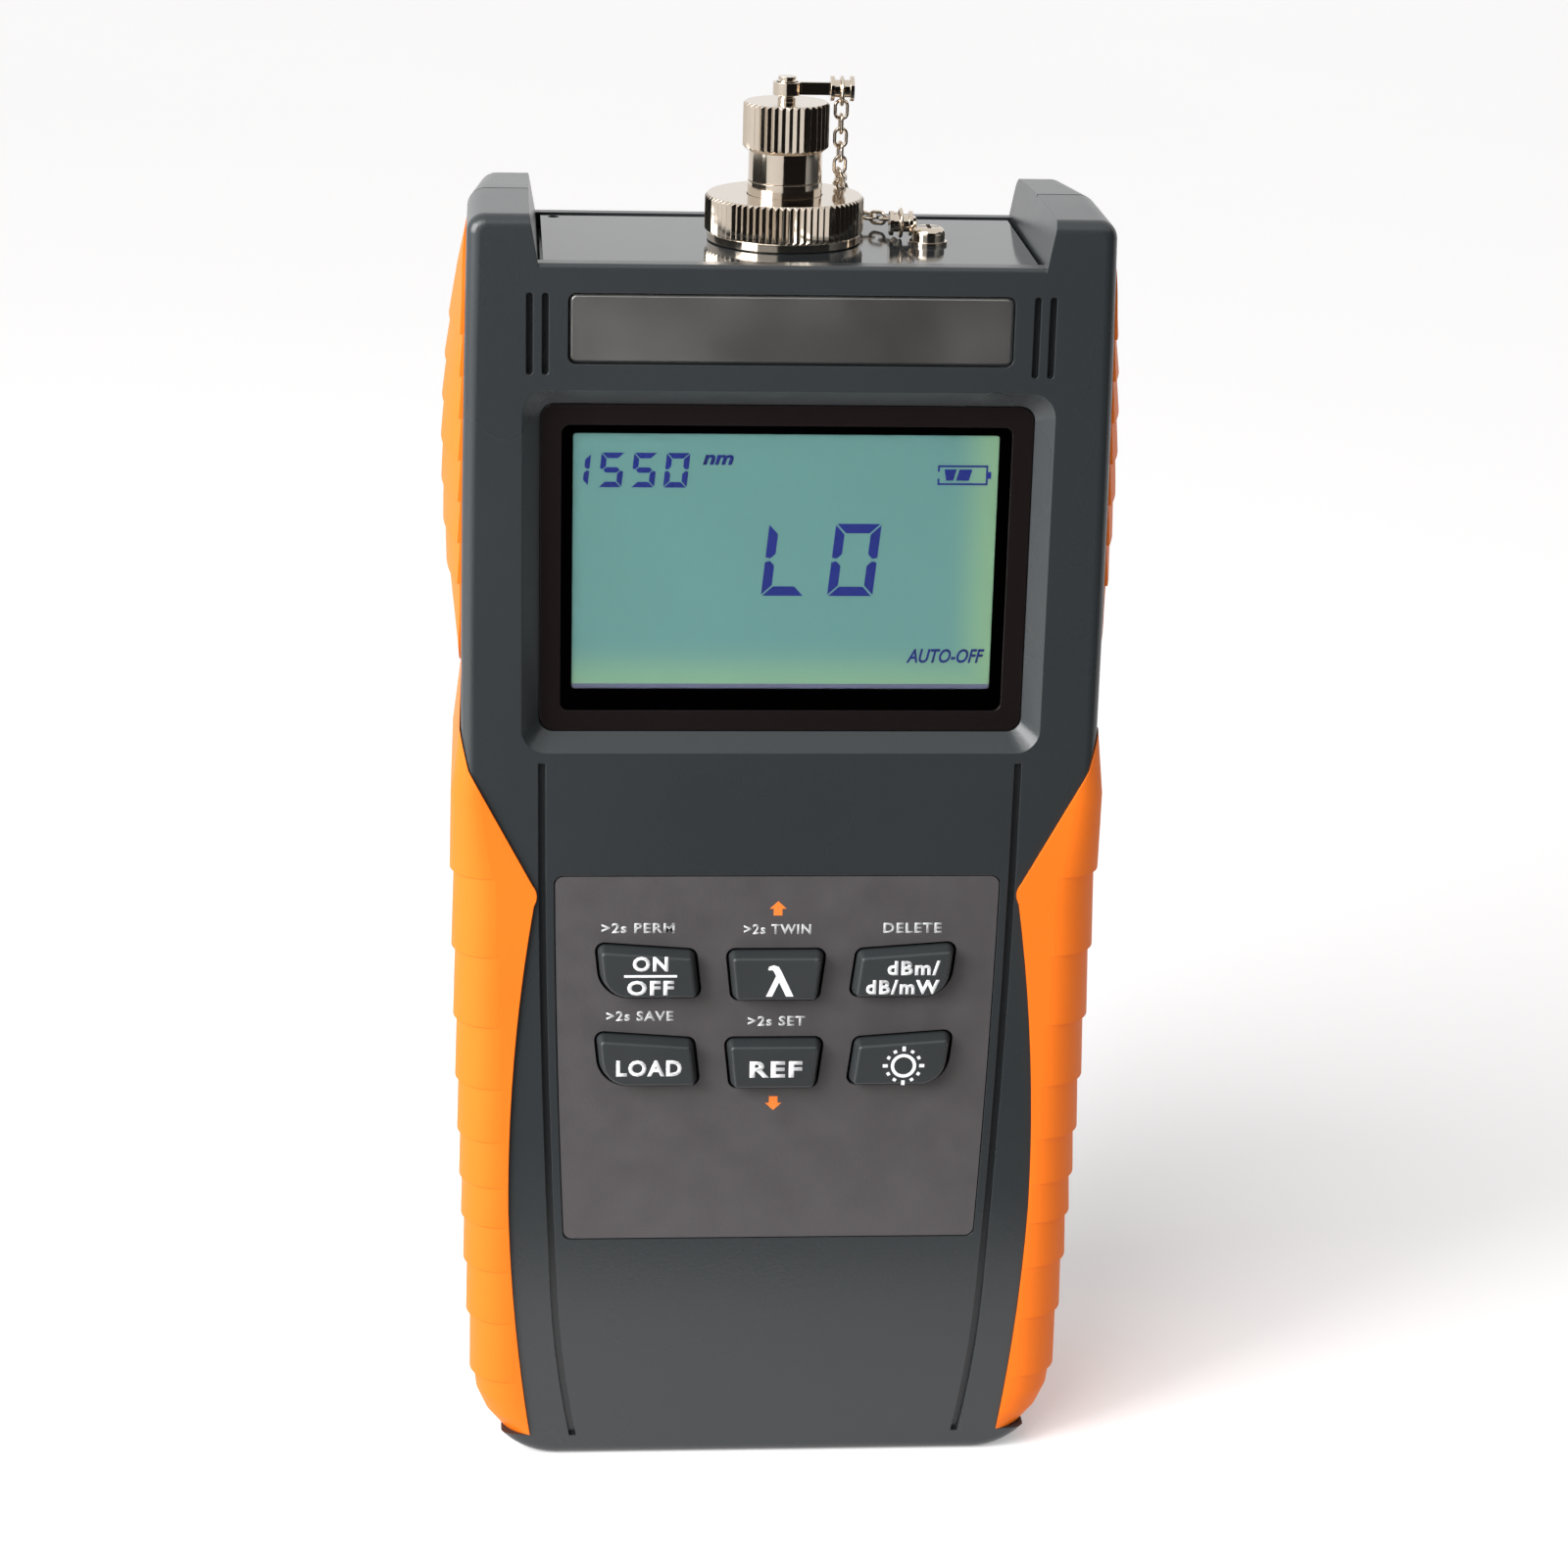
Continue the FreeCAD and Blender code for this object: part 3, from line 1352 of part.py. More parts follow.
nodes = {
    "front_shell": front_shell(front_block, front_room, pockets),
    "rear_shell": rear_shell(rear_block, rear_room, pockets),
    "right_lower_grip": right_lower,
    "left_lower_grip": mirrored(right_lower),
    "right_upper_grip": right_upper,
    "left_upper_grip": mirrored(right_upper),
    "name_plate": name_plate,
    "keypad_overlay": overlay,
    "display_bezel": display_bezel(),
    "display_lens": lens_plate(dish_depth + bezel_thick, lens_thick),
    "display_mask": display_mask(),
    "lcd_glass": lcd_box(lcd_depth, lcd_thick, 0.0),
    "backlight_frame": backlight(),
    "key_mat": key_mat(),
    "circuit_board": circuit_board(),
    "board_screws": board_screws(),
    "case_screws": case_screws(),
    "top_panel": top_panel(),
    "detector_housing": detector_housing(),
    "photodiode": photodiode(),
    "fibre_adapter": fibre_adapter(),
    "ferrule_sleeve": ferrule_sleeve(),
    "ring_nut": ring_nut(),
    "dust_cap": dust_cap(),
    "cap_strap": cap_strap(),
    "cap_spool": spool(spool_x, axis_y, spool_z),
    "anchor_spool": spool(anchor_spool_x, anchor_spool_y, anchor_spool_z),
    "chain": chain(),
    "chain_anchor": chain_anchor(),
    "panel_screw": panel_screw(),
    "battery_door": battery_door(),
    "battery_cells": battery_cells(),
    "battery_contacts": battery_contacts(),
}
for node, (column, row) in key_nodes.items():
    nodes[node] = key_cap(column, row)

os.makedirs("parts", exist_ok=True)
for node, shape in nodes.items():
    shape.exportStep("parts/" + node + ".step")
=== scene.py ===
"""Looks for a handheld optical power meter: materials, lettering, display, chain and studio."""

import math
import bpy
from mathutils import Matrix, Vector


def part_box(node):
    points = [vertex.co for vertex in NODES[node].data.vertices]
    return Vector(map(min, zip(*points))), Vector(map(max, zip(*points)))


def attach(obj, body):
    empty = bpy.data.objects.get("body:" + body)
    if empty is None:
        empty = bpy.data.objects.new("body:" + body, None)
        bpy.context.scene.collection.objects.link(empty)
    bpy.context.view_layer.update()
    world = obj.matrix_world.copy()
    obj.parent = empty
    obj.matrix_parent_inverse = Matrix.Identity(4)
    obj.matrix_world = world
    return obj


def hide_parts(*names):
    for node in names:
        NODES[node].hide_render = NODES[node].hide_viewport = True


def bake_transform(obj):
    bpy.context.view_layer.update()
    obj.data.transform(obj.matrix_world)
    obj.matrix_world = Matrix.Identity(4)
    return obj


bl_info = {
    "name": "Optical power meter looks",
    "version": (1, 0, 0),
    "blender": (4, 5, 0),
    "location": "3D View > Sidebar > Meter",
    "description": "Dresses the packed solids of a handheld optical power meter",
    "category": "Object",
}

import bmesh
import bpy
import numpy as np
from mathutils import Matrix, Vector

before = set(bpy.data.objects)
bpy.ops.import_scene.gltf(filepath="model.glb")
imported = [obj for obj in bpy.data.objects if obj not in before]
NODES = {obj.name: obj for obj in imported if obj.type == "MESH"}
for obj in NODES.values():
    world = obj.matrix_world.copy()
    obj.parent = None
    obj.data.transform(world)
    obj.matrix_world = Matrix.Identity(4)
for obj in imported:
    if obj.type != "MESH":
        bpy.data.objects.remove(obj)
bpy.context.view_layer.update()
MM = 0.001

FRONT_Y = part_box("front_shell")[0].y
LCD_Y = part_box("lcd_glass")[0].y
KEY_FACE_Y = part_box("key_power")[0].y
OVERLAY_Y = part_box("keypad_overlay")[0].y
PRINT_THICK = 0.02 * MM
PRINT_SINK = 0.005 * MM
# points closer than this, in metres, become one
PRINT_WELD, LINK_WELD = 1e-7, 1e-6
PANEL_PRINT_Y = LCD_Y - 0.03 * MM

KEY_NODES = ("key_power", "key_wavelength", "key_unit", "key_load", "key_reference", "key_backlight")


# ------------------------------------------------------------------ settings
class METER_PG_case(bpy.types.PropertyGroup):
    """Colours and grain of the case"""
    plastic: bpy.props.FloatVectorProperty(
        name="Case colour", description="Moulded shells and panel", subtype="COLOR", size=3,
        min=0.0, max=1.0, default=(0.026, 0.0305, 0.033))
    grip: bpy.props.FloatVectorProperty(
        name="Grip colour", description="Soft side grips", subtype="COLOR", size=3,
        min=0.0, max=1.0, default=(0.88, 0.172, 0.003))
    overlay: bpy.props.FloatVectorProperty(
        name="Overlay colour", description="Film under the keys", subtype="COLOR", size=3,
        min=0.0, max=1.0, default=(0.068, 0.062, 0.064))
    key: bpy.props.FloatVectorProperty(
        name="Key colour", description="Rubber keys", subtype="COLOR", size=3,
        min=0.0, max=1.0, default=(0.028, 0.032, 0.034))
    grain: bpy.props.FloatProperty(
        name="Grain size", description="Width of one speck of the moulded grain", subtype="DISTANCE",
        unit="LENGTH", min=0.0001, max=0.002, default=0.00035)


class METER_PG_display(bpy.types.PropertyGroup):
    """Colours of the display and height of its figures"""
    panel: bpy.props.FloatVectorProperty(
        name="Panel colour", description="Colour of the lit display", subtype="COLOR", size=3,
        min=0.0, max=1.0, default=(0.094, 0.214, 0.204))
    edge: bpy.props.FloatVectorProperty(
        name="Edge glow", description="Colour beside the lamp at the right and lower edges",
        subtype="COLOR", size=3, min=0.0, max=1.0, default=(0.170, 0.300, 0.185))
    segment: bpy.props.FloatVectorProperty(
        name="Segment colour", description="Dark segments", subtype="COLOR", size=3,
        min=0.0, max=1.0, default=(0.004, 0.014, 0.180))
    small_digit: bpy.props.FloatProperty(
        name="Small digit height", description="Height of the wavelength digits", subtype="DISTANCE",
        unit="LENGTH", min=0.002, max=0.01, default=0.00427)
    large_digit: bpy.props.FloatProperty(
        name="Large digit height", description="Height of the reading", subtype="DISTANCE",
        unit="LENGTH", min=0.004, max=0.02, default=0.00907)


class METER_PG_print(bpy.types.PropertyGroup):
    """Colours and heights of the lettering"""
    white: bpy.props.FloatVectorProperty(
        name="Print colour", description="Key legends and captions", subtype="COLOR", size=3,
        min=0.0, max=1.0, default=(0.80, 0.81, 0.82))
    arrow: bpy.props.FloatVectorProperty(
        name="Arrow colour", description="The two small arrows", subtype="COLOR", size=3,
        min=0.0, max=1.0, default=(0.85, 0.20, 0.02))
    legend: bpy.props.FloatProperty(
        name="Legend height", description="Capital height on the keys", subtype="DISTANCE",
        unit="LENGTH", min=0.001, max=0.004, default=0.0022)
    caption: bpy.props.FloatProperty(
        name="Caption height", description="Capital height on the overlay", subtype="DISTANCE",
        unit="LENGTH", min=0.0005, max=0.003, default=0.00135)


class METER_PG_chain(bpy.types.PropertyGroup):
    """Wire of the chain and colour of the plating"""
    wire: bpy.props.FloatProperty(
        name="Wire thickness", description="Thickness of the round wire", subtype="DISTANCE",
        unit="LENGTH", min=0.0002, max=0.001, default=0.00044)
    metal: bpy.props.FloatVectorProperty(
        name="Plating colour", description="Nickel plating of the port, cap and chain", subtype="COLOR",
        size=3, min=0.0, max=1.0, default=(0.62, 0.54, 0.45))


class METER_PG_studio(bpy.types.PropertyGroup):
    """Strength of the lights and colour of the floor"""
    daylight: bpy.props.FloatProperty(
        name="Window light", description="Strength of the broad light from the front left",
        min=0.0, max=10.0, default=1.7)
    side_power: bpy.props.FloatProperty(
        name="Side lamp", description="Power of the soft lamp close on the left", subtype="POWER",
        unit="POWER", min=0.0, max=100.0, default=3.0)
    ambient: bpy.props.FloatProperty(
        name="Room light", description="Even light from all round", min=0.0, max=2.0, default=0.30)
    floor: bpy.props.FloatVectorProperty(
        name="Floor colour", description="Pale paper floor", subtype="COLOR", size=3,
        min=0.0, max=1.0, default=(0.90, 0.885, 0.885))
    floor_glow: bpy.props.FloatProperty(
        name="Floor whiteness", description="What the paper gains where it is only looked at",
        min=0.0, max=1.0, default=0.31)


# ------------------------------------------------------------------ lettering
# places and sizes in millimetres; boldness, spacing, shade, slant and lean are plain factors
LEGEND_BOLD, LEGEND_SPACING = 0.036, 1.16
CAPTION_BOLD, CAPTION_SPACING, CAPTION_SHADE = 0.03, 1.12, 0.62
# words, middle x and z, width, share of the legend height
LEGENDS = {
    "key_power": (("ON", -15.7, 69.4, 4.4, 0.9), ("OFF", -15.65, 66.2, 5.8, 0.9)),
    "key_unit": (("dBm/", 17.1, 68.75, 6.6, 0.88), ("dB/mW", 15.8, 66.2, 9.2, 0.88)),
    "key_load": (("LOAD", -15.7, 55.39, 8.2, 1.0),),
    "key_reference": (("REF", 0.2, 55.15, 6.6, 1.0),),
}
# words, middle x and z, width
CAPTIONS = ((">2s PERM", -17.2, 73.47, 9.1), (">2s TWIN", 0.1, 73.28, 8.4), ("DELETE", 16.95, 73.4, 7.3),
            (">2s SAVE", -16.85, 61.7, 8.4), (">2s SET", 0.25, 60.95, 7.2))
POWER_BAR = ((-18.96, 67.62), (-12.4, 67.62), (-12.4, 67.94), (-18.96, 67.94))
# a hooked long stroke with a short leg, about its middle
WAVE_LETTER = ((-1.50, 1.62), (-1.38, 2.12), (-0.78, 2.32), (-0.18, 2.08), (0.14, 1.46), (1.74, -2.33),
               (0.80, -2.33), (-0.10, -0.22), (-0.94, -2.33), (-1.71, -2.33), (-0.50, 0.72), (-0.80, 1.42),
               (-1.00, 1.60), (-1.28, 1.56))
WAVE_PLACE, WAVE_TALL = (0.41, 67.1), 0.9
ARROW = ((-0.55, -0.9), (0.55, -0.9), (0.55, 0.0), (1.05, 0.0), (0.0, 1.0), (-1.05, 0.0), (-0.55, 0.0))
# middle x and z, and the way it points
ARROW_PLACES = ((0.1, 76.0, 1.0), (0.1, 49.8, -1.0))
SUN_PLACE = (16.24, 55.55)
SUN_OUTER, SUN_INNER, SUN_SIDES, SUN_RAYS = 1.6, 1.18, 40, 12
RAY_START, RAY_LONG, RAY_SHORT, RAY_HALF_WIDTH = 1.98, 2.62, 2.38, 0.22
# the gap at a segment's ends, as a share of its bar
SEGMENT_GAP = 0.13
# lit segments, left x, foot z, then width, height and bar as shares of the full digit height
SMALL_DIGITS = (("afgcd", -22.6, 128.69, 0.66, 1.0, 0.16), ("afgcd", -18.7, 128.69, 0.66, 1.0, 0.16),
                ("abcdef", -14.79, 128.69, 0.66, 1.0, 0.16), ("bc", -25.95, 128.85, 0.5, 0.93, 0.15))
# the same without the share for the height
LARGE_DIGITS = (("def", -2.72, 115.24, 0.58, 0.13), ("abcdef", 5.34, 115.24, 0.61, 0.13))
SMALL_LEAN, LARGE_LEAN = 0.1, 0.096
# words, middle x and z, width, height, boldness, slant
PANEL_WORDS = (("nm", -8.2, 132.15, 3.7, 1.25, 0.035, 0.25),
               ("AUTO-OFF", 20.12, 107.65, 9.6, 1.8, 0.02, 0.28))
STRIP_IN, STRIP_LOW, STRIP_HIGH = 0.4, 103.2, 104.05

# ------------------------------------------------------------------ chain
# pieces of wire round one link, and flats round the wire
LINK_STEPS, WIRE_SIDES = 20, 8

# ------------------------------------------------------------------ finish
# the colour sockets of a Mix node
MIX_FIRST, MIX_SECOND, MIX_RESULT = 6, 7, 2
# metres from the panel's edges where the glow starts and where it is full, and its strength
GLOW_SIDE, GLOW_FOOT, GLOW_FULL, PANEL_GLOW = 0.0075, 0.009, 0.0015, 0.32
# metres from a cell's top to its dark jacket, and the width of the blur between
BAND_DEPTH, BAND_BLUR = 0.0145, 0.0002

# ------------------------------------------------------------------ studio, in metres
FLOOR_REACH = 6.0
# the spread is in degrees
WINDOW_PLACE, WINDOW_SPREAD = (-0.50, -0.62, 0.66), 40.0
SIDE_LAMP_PLACE, SIDE_LAMP_TARGET, SIDE_LAMP_SIZE = (-0.40, -0.22, 0.28), (0.0, 0.0, 0.10), 0.30
# dark sheets that only shiny surfaces see: painted dark reflections, giving no light and casting no shadow
PAINTED_REFLECTION_CARDS = {
    "low_card": ((-0.16, -2.4, 0.002), (1.4, -2.4, 0.002), (1.4, -0.07, 0.002), (-0.16, -0.07, 0.002)),
    "front_card": ((-0.30, -1.3, 0.0), (1.4, -1.3, 0.0), (1.4, -1.3, 1.1), (-0.30, -1.3, 1.1)),
    "right_card": ((0.9, -1.3, 0.0), (0.9, 0.15, 0.0), (0.9, 0.15, 0.7), (0.9, -1.3, 0.7)),
}
# yaw, pitch and roll in degrees
CAMERA_TURN = (4.66, 19.0, 1.51)
# metres, with y measured from the front face
CAMERA_PLACE = (-0.034905, -0.433238, 0.242029)
# millimetres, as a camera has them
SENSOR_WIDTH, LENS = 36.0, 86.175

SETTINGS = {
    "meter_case": METER_PG_case,
    "meter_display": METER_PG_display,
    "meter_print": METER_PG_print,
    "meter_chain": METER_PG_chain,
    "meter_studio": METER_PG_studio,
}


# ------------------------------------------------------------------ shader groups
def node_group(name, inputs, outputs):
    """A new shader group with named sockets, and its input and output nodes."""
    group = bpy.data.node_groups.new(name, "ShaderNodeTree")
    for label, kind, value in inputs:
        socket = group.interface.new_socket(name=label, in_out="INPUT", socket_type=kind)
        if value is not None:
            socket.default_value = value
    for label, kind in outputs:
        group.interface.new_socket(name=label, in_out="OUTPUT", socket_type=kind)
    return group, group.nodes.new("NodeGroupInput"), group.nodes.new("NodeGroupOutput")


def grain_group():
    """Fine moulded grain: a height for bumps, and slow patches for colour and gloss."""
    group, start, end = node_group(
        "moulded_grain",
        [("Speck", "NodeSocketFloat", 0.00035), ("Patch", "NodeSocketFloat", 0.02)],
        [("Height", "NodeSocketFloat"), ("Patches", "NodeSocketFloat")])
    link = group.links.new
    place = group.nodes.new("ShaderNodeTexCoord")
    for label, output, detail in (("Speck", "Height", 2.0), ("Patch", "Patches", 3.0)):
        scale = group.nodes.new("ShaderNodeMath")
        scale.operation = "DIVIDE"
        scale.inputs[0].default_value = 1.0
        link(start.outputs[label], scale.inputs[1])
        noise = group.nodes.new("ShaderNodeTexNoise")
        noise.inputs["Detail"].default_value = detail
        link(place.outputs["Object"], noise.inputs["Vector"])
        link(scale.outputs[0], noise.inputs["Scale"])
        link(noise.outputs["Fac"], end.inputs[output])
    return group


def drift_group():
    """A colour that drifts a little darker and lighter with a mask."""
    group, start, end = node_group(
        "tint_drift",
        [("Colour", "NodeSocketColor", (0.5, 0.5, 0.5, 1.0)), ("Mask", "NodeSocketFloat", 0.5),
         ("Amount", "NodeSocketFloat", 0.1)],
        [("Colour", "NodeSocketColor")])
    link = group.links.new
    spread = group.nodes.new("ShaderNodeMath")
    spread.operation = "MULTIPLY_ADD"
    spread.inputs[2].default_value = 1.0
    centre = group.nodes.new("ShaderNodeMath")
    centre.operation = "SUBTRACT"
    centre.inputs[1].default_value = 0.5
    link(start.outputs["Mask"], centre.inputs[0])
    link(centre.outputs[0], spread.inputs[0])
    link(start.outputs["Amount"], spread.inputs[1])
    scale = group.nodes.new("ShaderNodeVectorMath")
    scale.operation = "SCALE"
    link(start.outputs["Colour"], scale.inputs[0])
    link(spread.outputs[0], scale.inputs["Scale"])
    link(scale.outputs[0], end.inputs["Colour"])
    return group


def gloss_group():
    """A roughness that varies between two values with a mask."""
    group, start, end = node_group(
        "gloss_drift",
        [("Mask", "NodeSocketFloat", 0.5), ("Low", "NodeSocketFloat", 0.3),
         ("High", "NodeSocketFloat", 0.5)],
        [("Roughness", "NodeSocketFloat")])
    ramp = group.nodes.new("ShaderNodeMapRange")
    ramp.inputs["From Min"].default_value = 0.3
    ramp.inputs["From Max"].default_value = 0.7
    group.links.new(start.outputs["Mask"], ramp.inputs["Value"])
    group.links.new(start.outputs["Low"], ramp.inputs["To Min"])
    group.links.new(start.outputs["High"], ramp.inputs["To Max"])
    group.links.new(ramp.outputs[0], end.inputs["Roughness"])
    return group


def edge_group():
    """Normals rounded over at sharp edges."""
    group, start, end = node_group(
        "softened_edges", [("Radius", "NodeSocketFloat", 0.0001)], [("Normal", "NodeSocketVector")])
    bevel = group.nodes.new("ShaderNodeBevel")
    bevel.samples = 6
    group.links.new(start.outputs["Radius"], bevel.inputs["Radius"])
    group.links.new(bevel.outputs["Normal"], end.inputs["Normal"])
    return group


GROUPS = {}


def shared(name, build):
    """The shader group of that name, built once."""
    if name not in GROUPS:
        GROUPS[name] = build()
    return GROUPS[name]


def place_group(tree, name, build, values):
    """One use of a shared group inside a material, with its own values."""
    node = tree.nodes.new("ShaderNodeGroup")
    node.node_tree = shared(name, build)
    for label, value in values.items():
        node.inputs[label].default_value = value
    return node


# ------------------------------------------------------------------ materials
def new_material(name):
    """A plain material, its node tree and its shader."""
    material = bpy.data.materials.new(name)
    material.use_nodes = True
    tree = material.node_tree
    return material, tree, tree.nodes["Principled BSDF"]


def own_axes(tree):
    """The object's own X, Y and Z, apart."""
    place = tree.nodes.new("ShaderNodeTexCoord")
    split = tree.nodes.new("ShaderNodeSeparateXYZ")
    tree.links.new(place.outputs["Object"], split.inputs[0])
    return split.outputs


def ramp_between(tree, value, start, end, curve="LINEAR"):
    """Nothing at the start, one at the end."""
    ramp = tree.nodes.new("ShaderNodeMapRange")
    ramp.interpolation_type = curve
    ramp.inputs["From Min"].default_value = start
    ramp.inputs["From Max"].default_value = end
    tree.links.new(value, ramp.inputs["Value"])
    return ramp.outputs[0]


def larger(tree, first, second):
    """The larger of two values."""
    node = tree.nodes.new("ShaderNodeMath")
    node.operation = "MAXIMUM"
    tree.links.new(first, node.inputs[0])
    tree.links.new(second, node.inputs[1])
    return node.outputs[0]


def surface(name, colour, low, high, speck=0.00035, patch=0.02, amount=0.12, bump=0.0, round_edge=0.0,
            **constants):
    """A material with drifting colour and gloss, fine grain and softened edges."""
    material, tree, shader = new_material(name)
    link = tree.links.new
    grain = place_group(tree, "moulded_grain", grain_group, {"Speck": speck, "Patch": patch})
    tint = place_group(tree, "tint_drift", drift_group, {"Colour": (*colour[:3], 1.0), "Amount": amount})
    gloss = place_group(tree, "gloss_drift", gloss_group, {"Low": low, "High": high})
    link(grain.outputs["Patches"], tint.inputs["Mask"])
    link(tint.outputs["Colour"], shader.inputs["Base Color"])
    link(grain.outputs["Patches"], gloss.inputs["Mask"])
    link(gloss.outputs["Roughness"], shader.inputs["Roughness"])
    normal = None
    if round_edge:
        edge = place_group(tree, "softened_edges", edge_group, {"Radius": round_edge})
        normal = edge.outputs["Normal"]
    if bump:
        raised = tree.nodes.new("ShaderNodeBump")
        raised.inputs["Strength"].default_value = 1.0
        raised.inputs["Distance"].default_value = bump
        link(grain.outputs["Height"], raised.inputs["Height"])
        if normal:
            link(normal, raised.inputs["Normal"])
        normal = raised.outputs["Normal"]
    if normal:
        link(normal, shader.inputs["Normal"])
    for label, value in constants.items():
        shader.inputs[label.replace("_", " ")].default_value = value
    return material


def clear_glass(name, tint):
    """Clear acrylic with a plain polish."""
    material, tree, shader = new_material(name)
    grain = place_group(tree, "moulded_grain", grain_group, {"Speck": 0.001, "Patch": 0.03})
    drift = place_group(tree, "tint_drift", drift_group, {"Colour": (*tint, 1.0), "Amount": 0.02})
    gloss = place_group(tree, "gloss_drift", gloss_group, {"Low": 0.02, "High": 0.05})
    tree.links.new(grain.outputs["Patches"], drift.inputs["Mask"])
    tree.links.new(drift.outputs["Colour"], shader.inputs["Base Color"])
    tree.links.new(grain.outputs["Patches"], gloss.inputs["Mask"])
    tree.links.new(gloss.outputs["Roughness"], shader.inputs["Roughness"])
    shader.inputs["Transmission Weight"].default_value = 1.0
    shader.inputs["IOR"].default_value = 1.3
    return material


def lit_display(name, panel, edge):
    """The display's back glass: teal, glowing greener towards the right and the bottom."""
    material, tree, shader = new_material(name)
    link = tree.links.new
    low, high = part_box("lcd_glass")
    axes = own_axes(tree)
    aside = ramp_between(tree, axes["X"], high.x - GLOW_SIDE, high.x - GLOW_FULL, "SMOOTHSTEP")
    below = ramp_between(tree, axes["Z"], low.z + GLOW_FOOT, low.z + GLOW_FULL, "SMOOTHSTEP")
    glow = larger(tree, aside, below)
    mix = tree.nodes.new("ShaderNodeMix")
    mix.data_type = "RGBA"
    mix.inputs[MIX_FIRST].default_value = (*panel, 1.0)
    mix.inputs[MIX_SECOND].default_value = (*edge, 1.0)
    link(glow, mix.inputs[0])
    grain = place_group(tree, "moulded_grain", grain_group, {"Speck": 0.0006, "Patch": 0.03})
    drift = place_group(tree, "tint_drift", drift_group, {"Amount": 0.12})
    link(grain.outputs["Patches"], drift.inputs["Mask"])
    link(mix.outputs[MIX_RESULT], drift.inputs["Colour"])
    link(drift.outputs["Colour"], shader.inputs["Base Color"])
    link(drift.outputs["Colour"], shader.inputs["Emission Color"])
    shader.inputs["Emission Strength"].default_value = PANEL_GLOW
    shader.inputs["Roughness"].default_value = 0.5
    shader.inputs["Specular IOR Level"].default_value = 0.1
    return material


def printed_jacket(name):
    """A battery cell: a dark jacket with a pale band at the top."""
    material = surface(name, (0.03, 0.045, 0.08), 0.25, 0.4, patch=0.01)
    tree = material.node_tree
    link = tree.links.new
    shader = tree.nodes["Principled BSDF"]
    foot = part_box("battery_cells")[1].z - BAND_DEPTH
    band = ramp_between(tree, own_axes(tree)["Z"], foot, foot + BAND_BLUR)
    mix = tree.nodes.new("ShaderNodeMix")
    mix.data_type = "RGBA"
    mix.inputs[MIX_SECOND].default_value = (0.62, 0.60, 0.56, 1.0)
    link(shader.inputs["Base Color"].links[0].from_socket, mix.inputs[MIX_FIRST])
    link(band, mix.inputs[0])
    link(mix.outputs[MIX_RESULT], shader.inputs["Base Color"])
    return material


def looked_at(tree):
    """One where the camera, a glossy surface or glass looks, and nothing elsewhere."""
    path = tree.nodes.new("ShaderNodeLightPath")
    through = larger(tree, path.outputs["Is Camera Ray"], path.outputs["Is Transmission Ray"])
    return larger(tree, through, path.outputs["Is Glossy Ray"])


def wear(obj, material):
    """The object wears one material all over."""
    obj.data.materials.clear()
    obj.data.materials.append(material)


def dress(names, material):
    """CAD nodes wear a material."""
    for name in names:
        wear(NODES[name], material)


# ------------------------------------------------------------------ drawing helpers
def mesh_object(name, bm):
    """A scene object from a finished mesh."""
    mesh = bpy.data.meshes.new(name)
    bm.to_mesh(mesh)
    bm.free()
    obj = bpy.data.objects.new(name, mesh)
    bpy.context.scene.collection.objects.link(obj)
    return obj


def add_mesh(name, bm, material, body):
    """A finished mesh as a piece that rides on a body."""
    obj = mesh_object(name, bm)
    wear(obj, material)
    if body:
        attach(obj, body)
    return obj


def add_plate(bm, outline, y, thick):
    """A flat printed shape: a closed outline of (x, z) points facing the front."""
    front = [bm.verts.new((x, y - thick, z)) for x, z in outline]
    back = [bm.verts.new((x, y + PRINT_SINK, z)) for x, z in outline]
    count = len(outline)
    bm.faces.new(front)
    bm.faces.new(back[::-1])
    for i in range(count):
        j = (i + 1) % count
        bm.faces.new((front[j], front[i], back[i], back[j]))


def tidy(bm):
    """Faces turned outwards."""
    bmesh.ops.recalc_face_normals(bm, faces=bm.faces[:])
    return bm


def add_words(bm, words, centre, size, y, bold=0.0, slant=0.0, spacing=1.0):
    """Lettering fitted to a width and height, facing the front."""
    curve = bpy.data.curves.new("words", "FONT")
    curve.body = words
    curve.offset = bold
    curve.shear = slant
    curve.space_character = spacing
    curve.resolution_u = 3
    holder = bpy.data.objects.new("words", curve)
    bpy.context.scene.collection.objects.link(holder)
    bpy.context.view_layer.update()
    mesh = bpy.data.meshes.new_from_object(holder.evaluated_get(bpy.context.evaluated_depsgraph_get()))
    bpy.data.objects.remove(holder)
    xs = [v.co.x for v in mesh.vertices]
    ys = [v.co.y for v in mesh.vertices]
    if not xs:
        raise RuntimeError("no outline for " + words)
    width = size[0] / (max(xs) - min(xs))
    height = size[1] / (max(ys) - min(ys))
    mid_x = (max(xs) + min(xs)) / 2.0
    mid_y = (max(ys) + min(ys)) / 2.0
    flat = bmesh.new()
    flat.from_mesh(mesh)
    bpy.data.meshes.remove(mesh)
    for v in flat.verts:
        x = centre[0] + (v.co.x - mid_x) * width
        z = centre[1] + (v.co.y - mid_y) * height
        v.co = Vector((x, y + PRINT_SINK, z))
    bmesh.ops.remove_doubles(flat, verts=flat.verts[:], dist=PRINT_WELD)
    raised = bmesh.ops.extrude_face_region(flat, geom=flat.faces[:])
    for v in raised["geom"]:
        if isinstance(v, bmesh.types.BMVert):
            v.co.y = y - PRINT_THICK
    holding = bpy.data.meshes.new("words")
    tidy(flat).to_mesh(holding)
    flat.free()
    bm.from_mesh(holding)
    bpy.data.meshes.remove(holding)


def sheared(points, corner, slant):
    """Points of a digit's cell placed and leaned to the right."""
    return [(corner[0] + x + slant * z, corner[1] + z) for x, z in points]


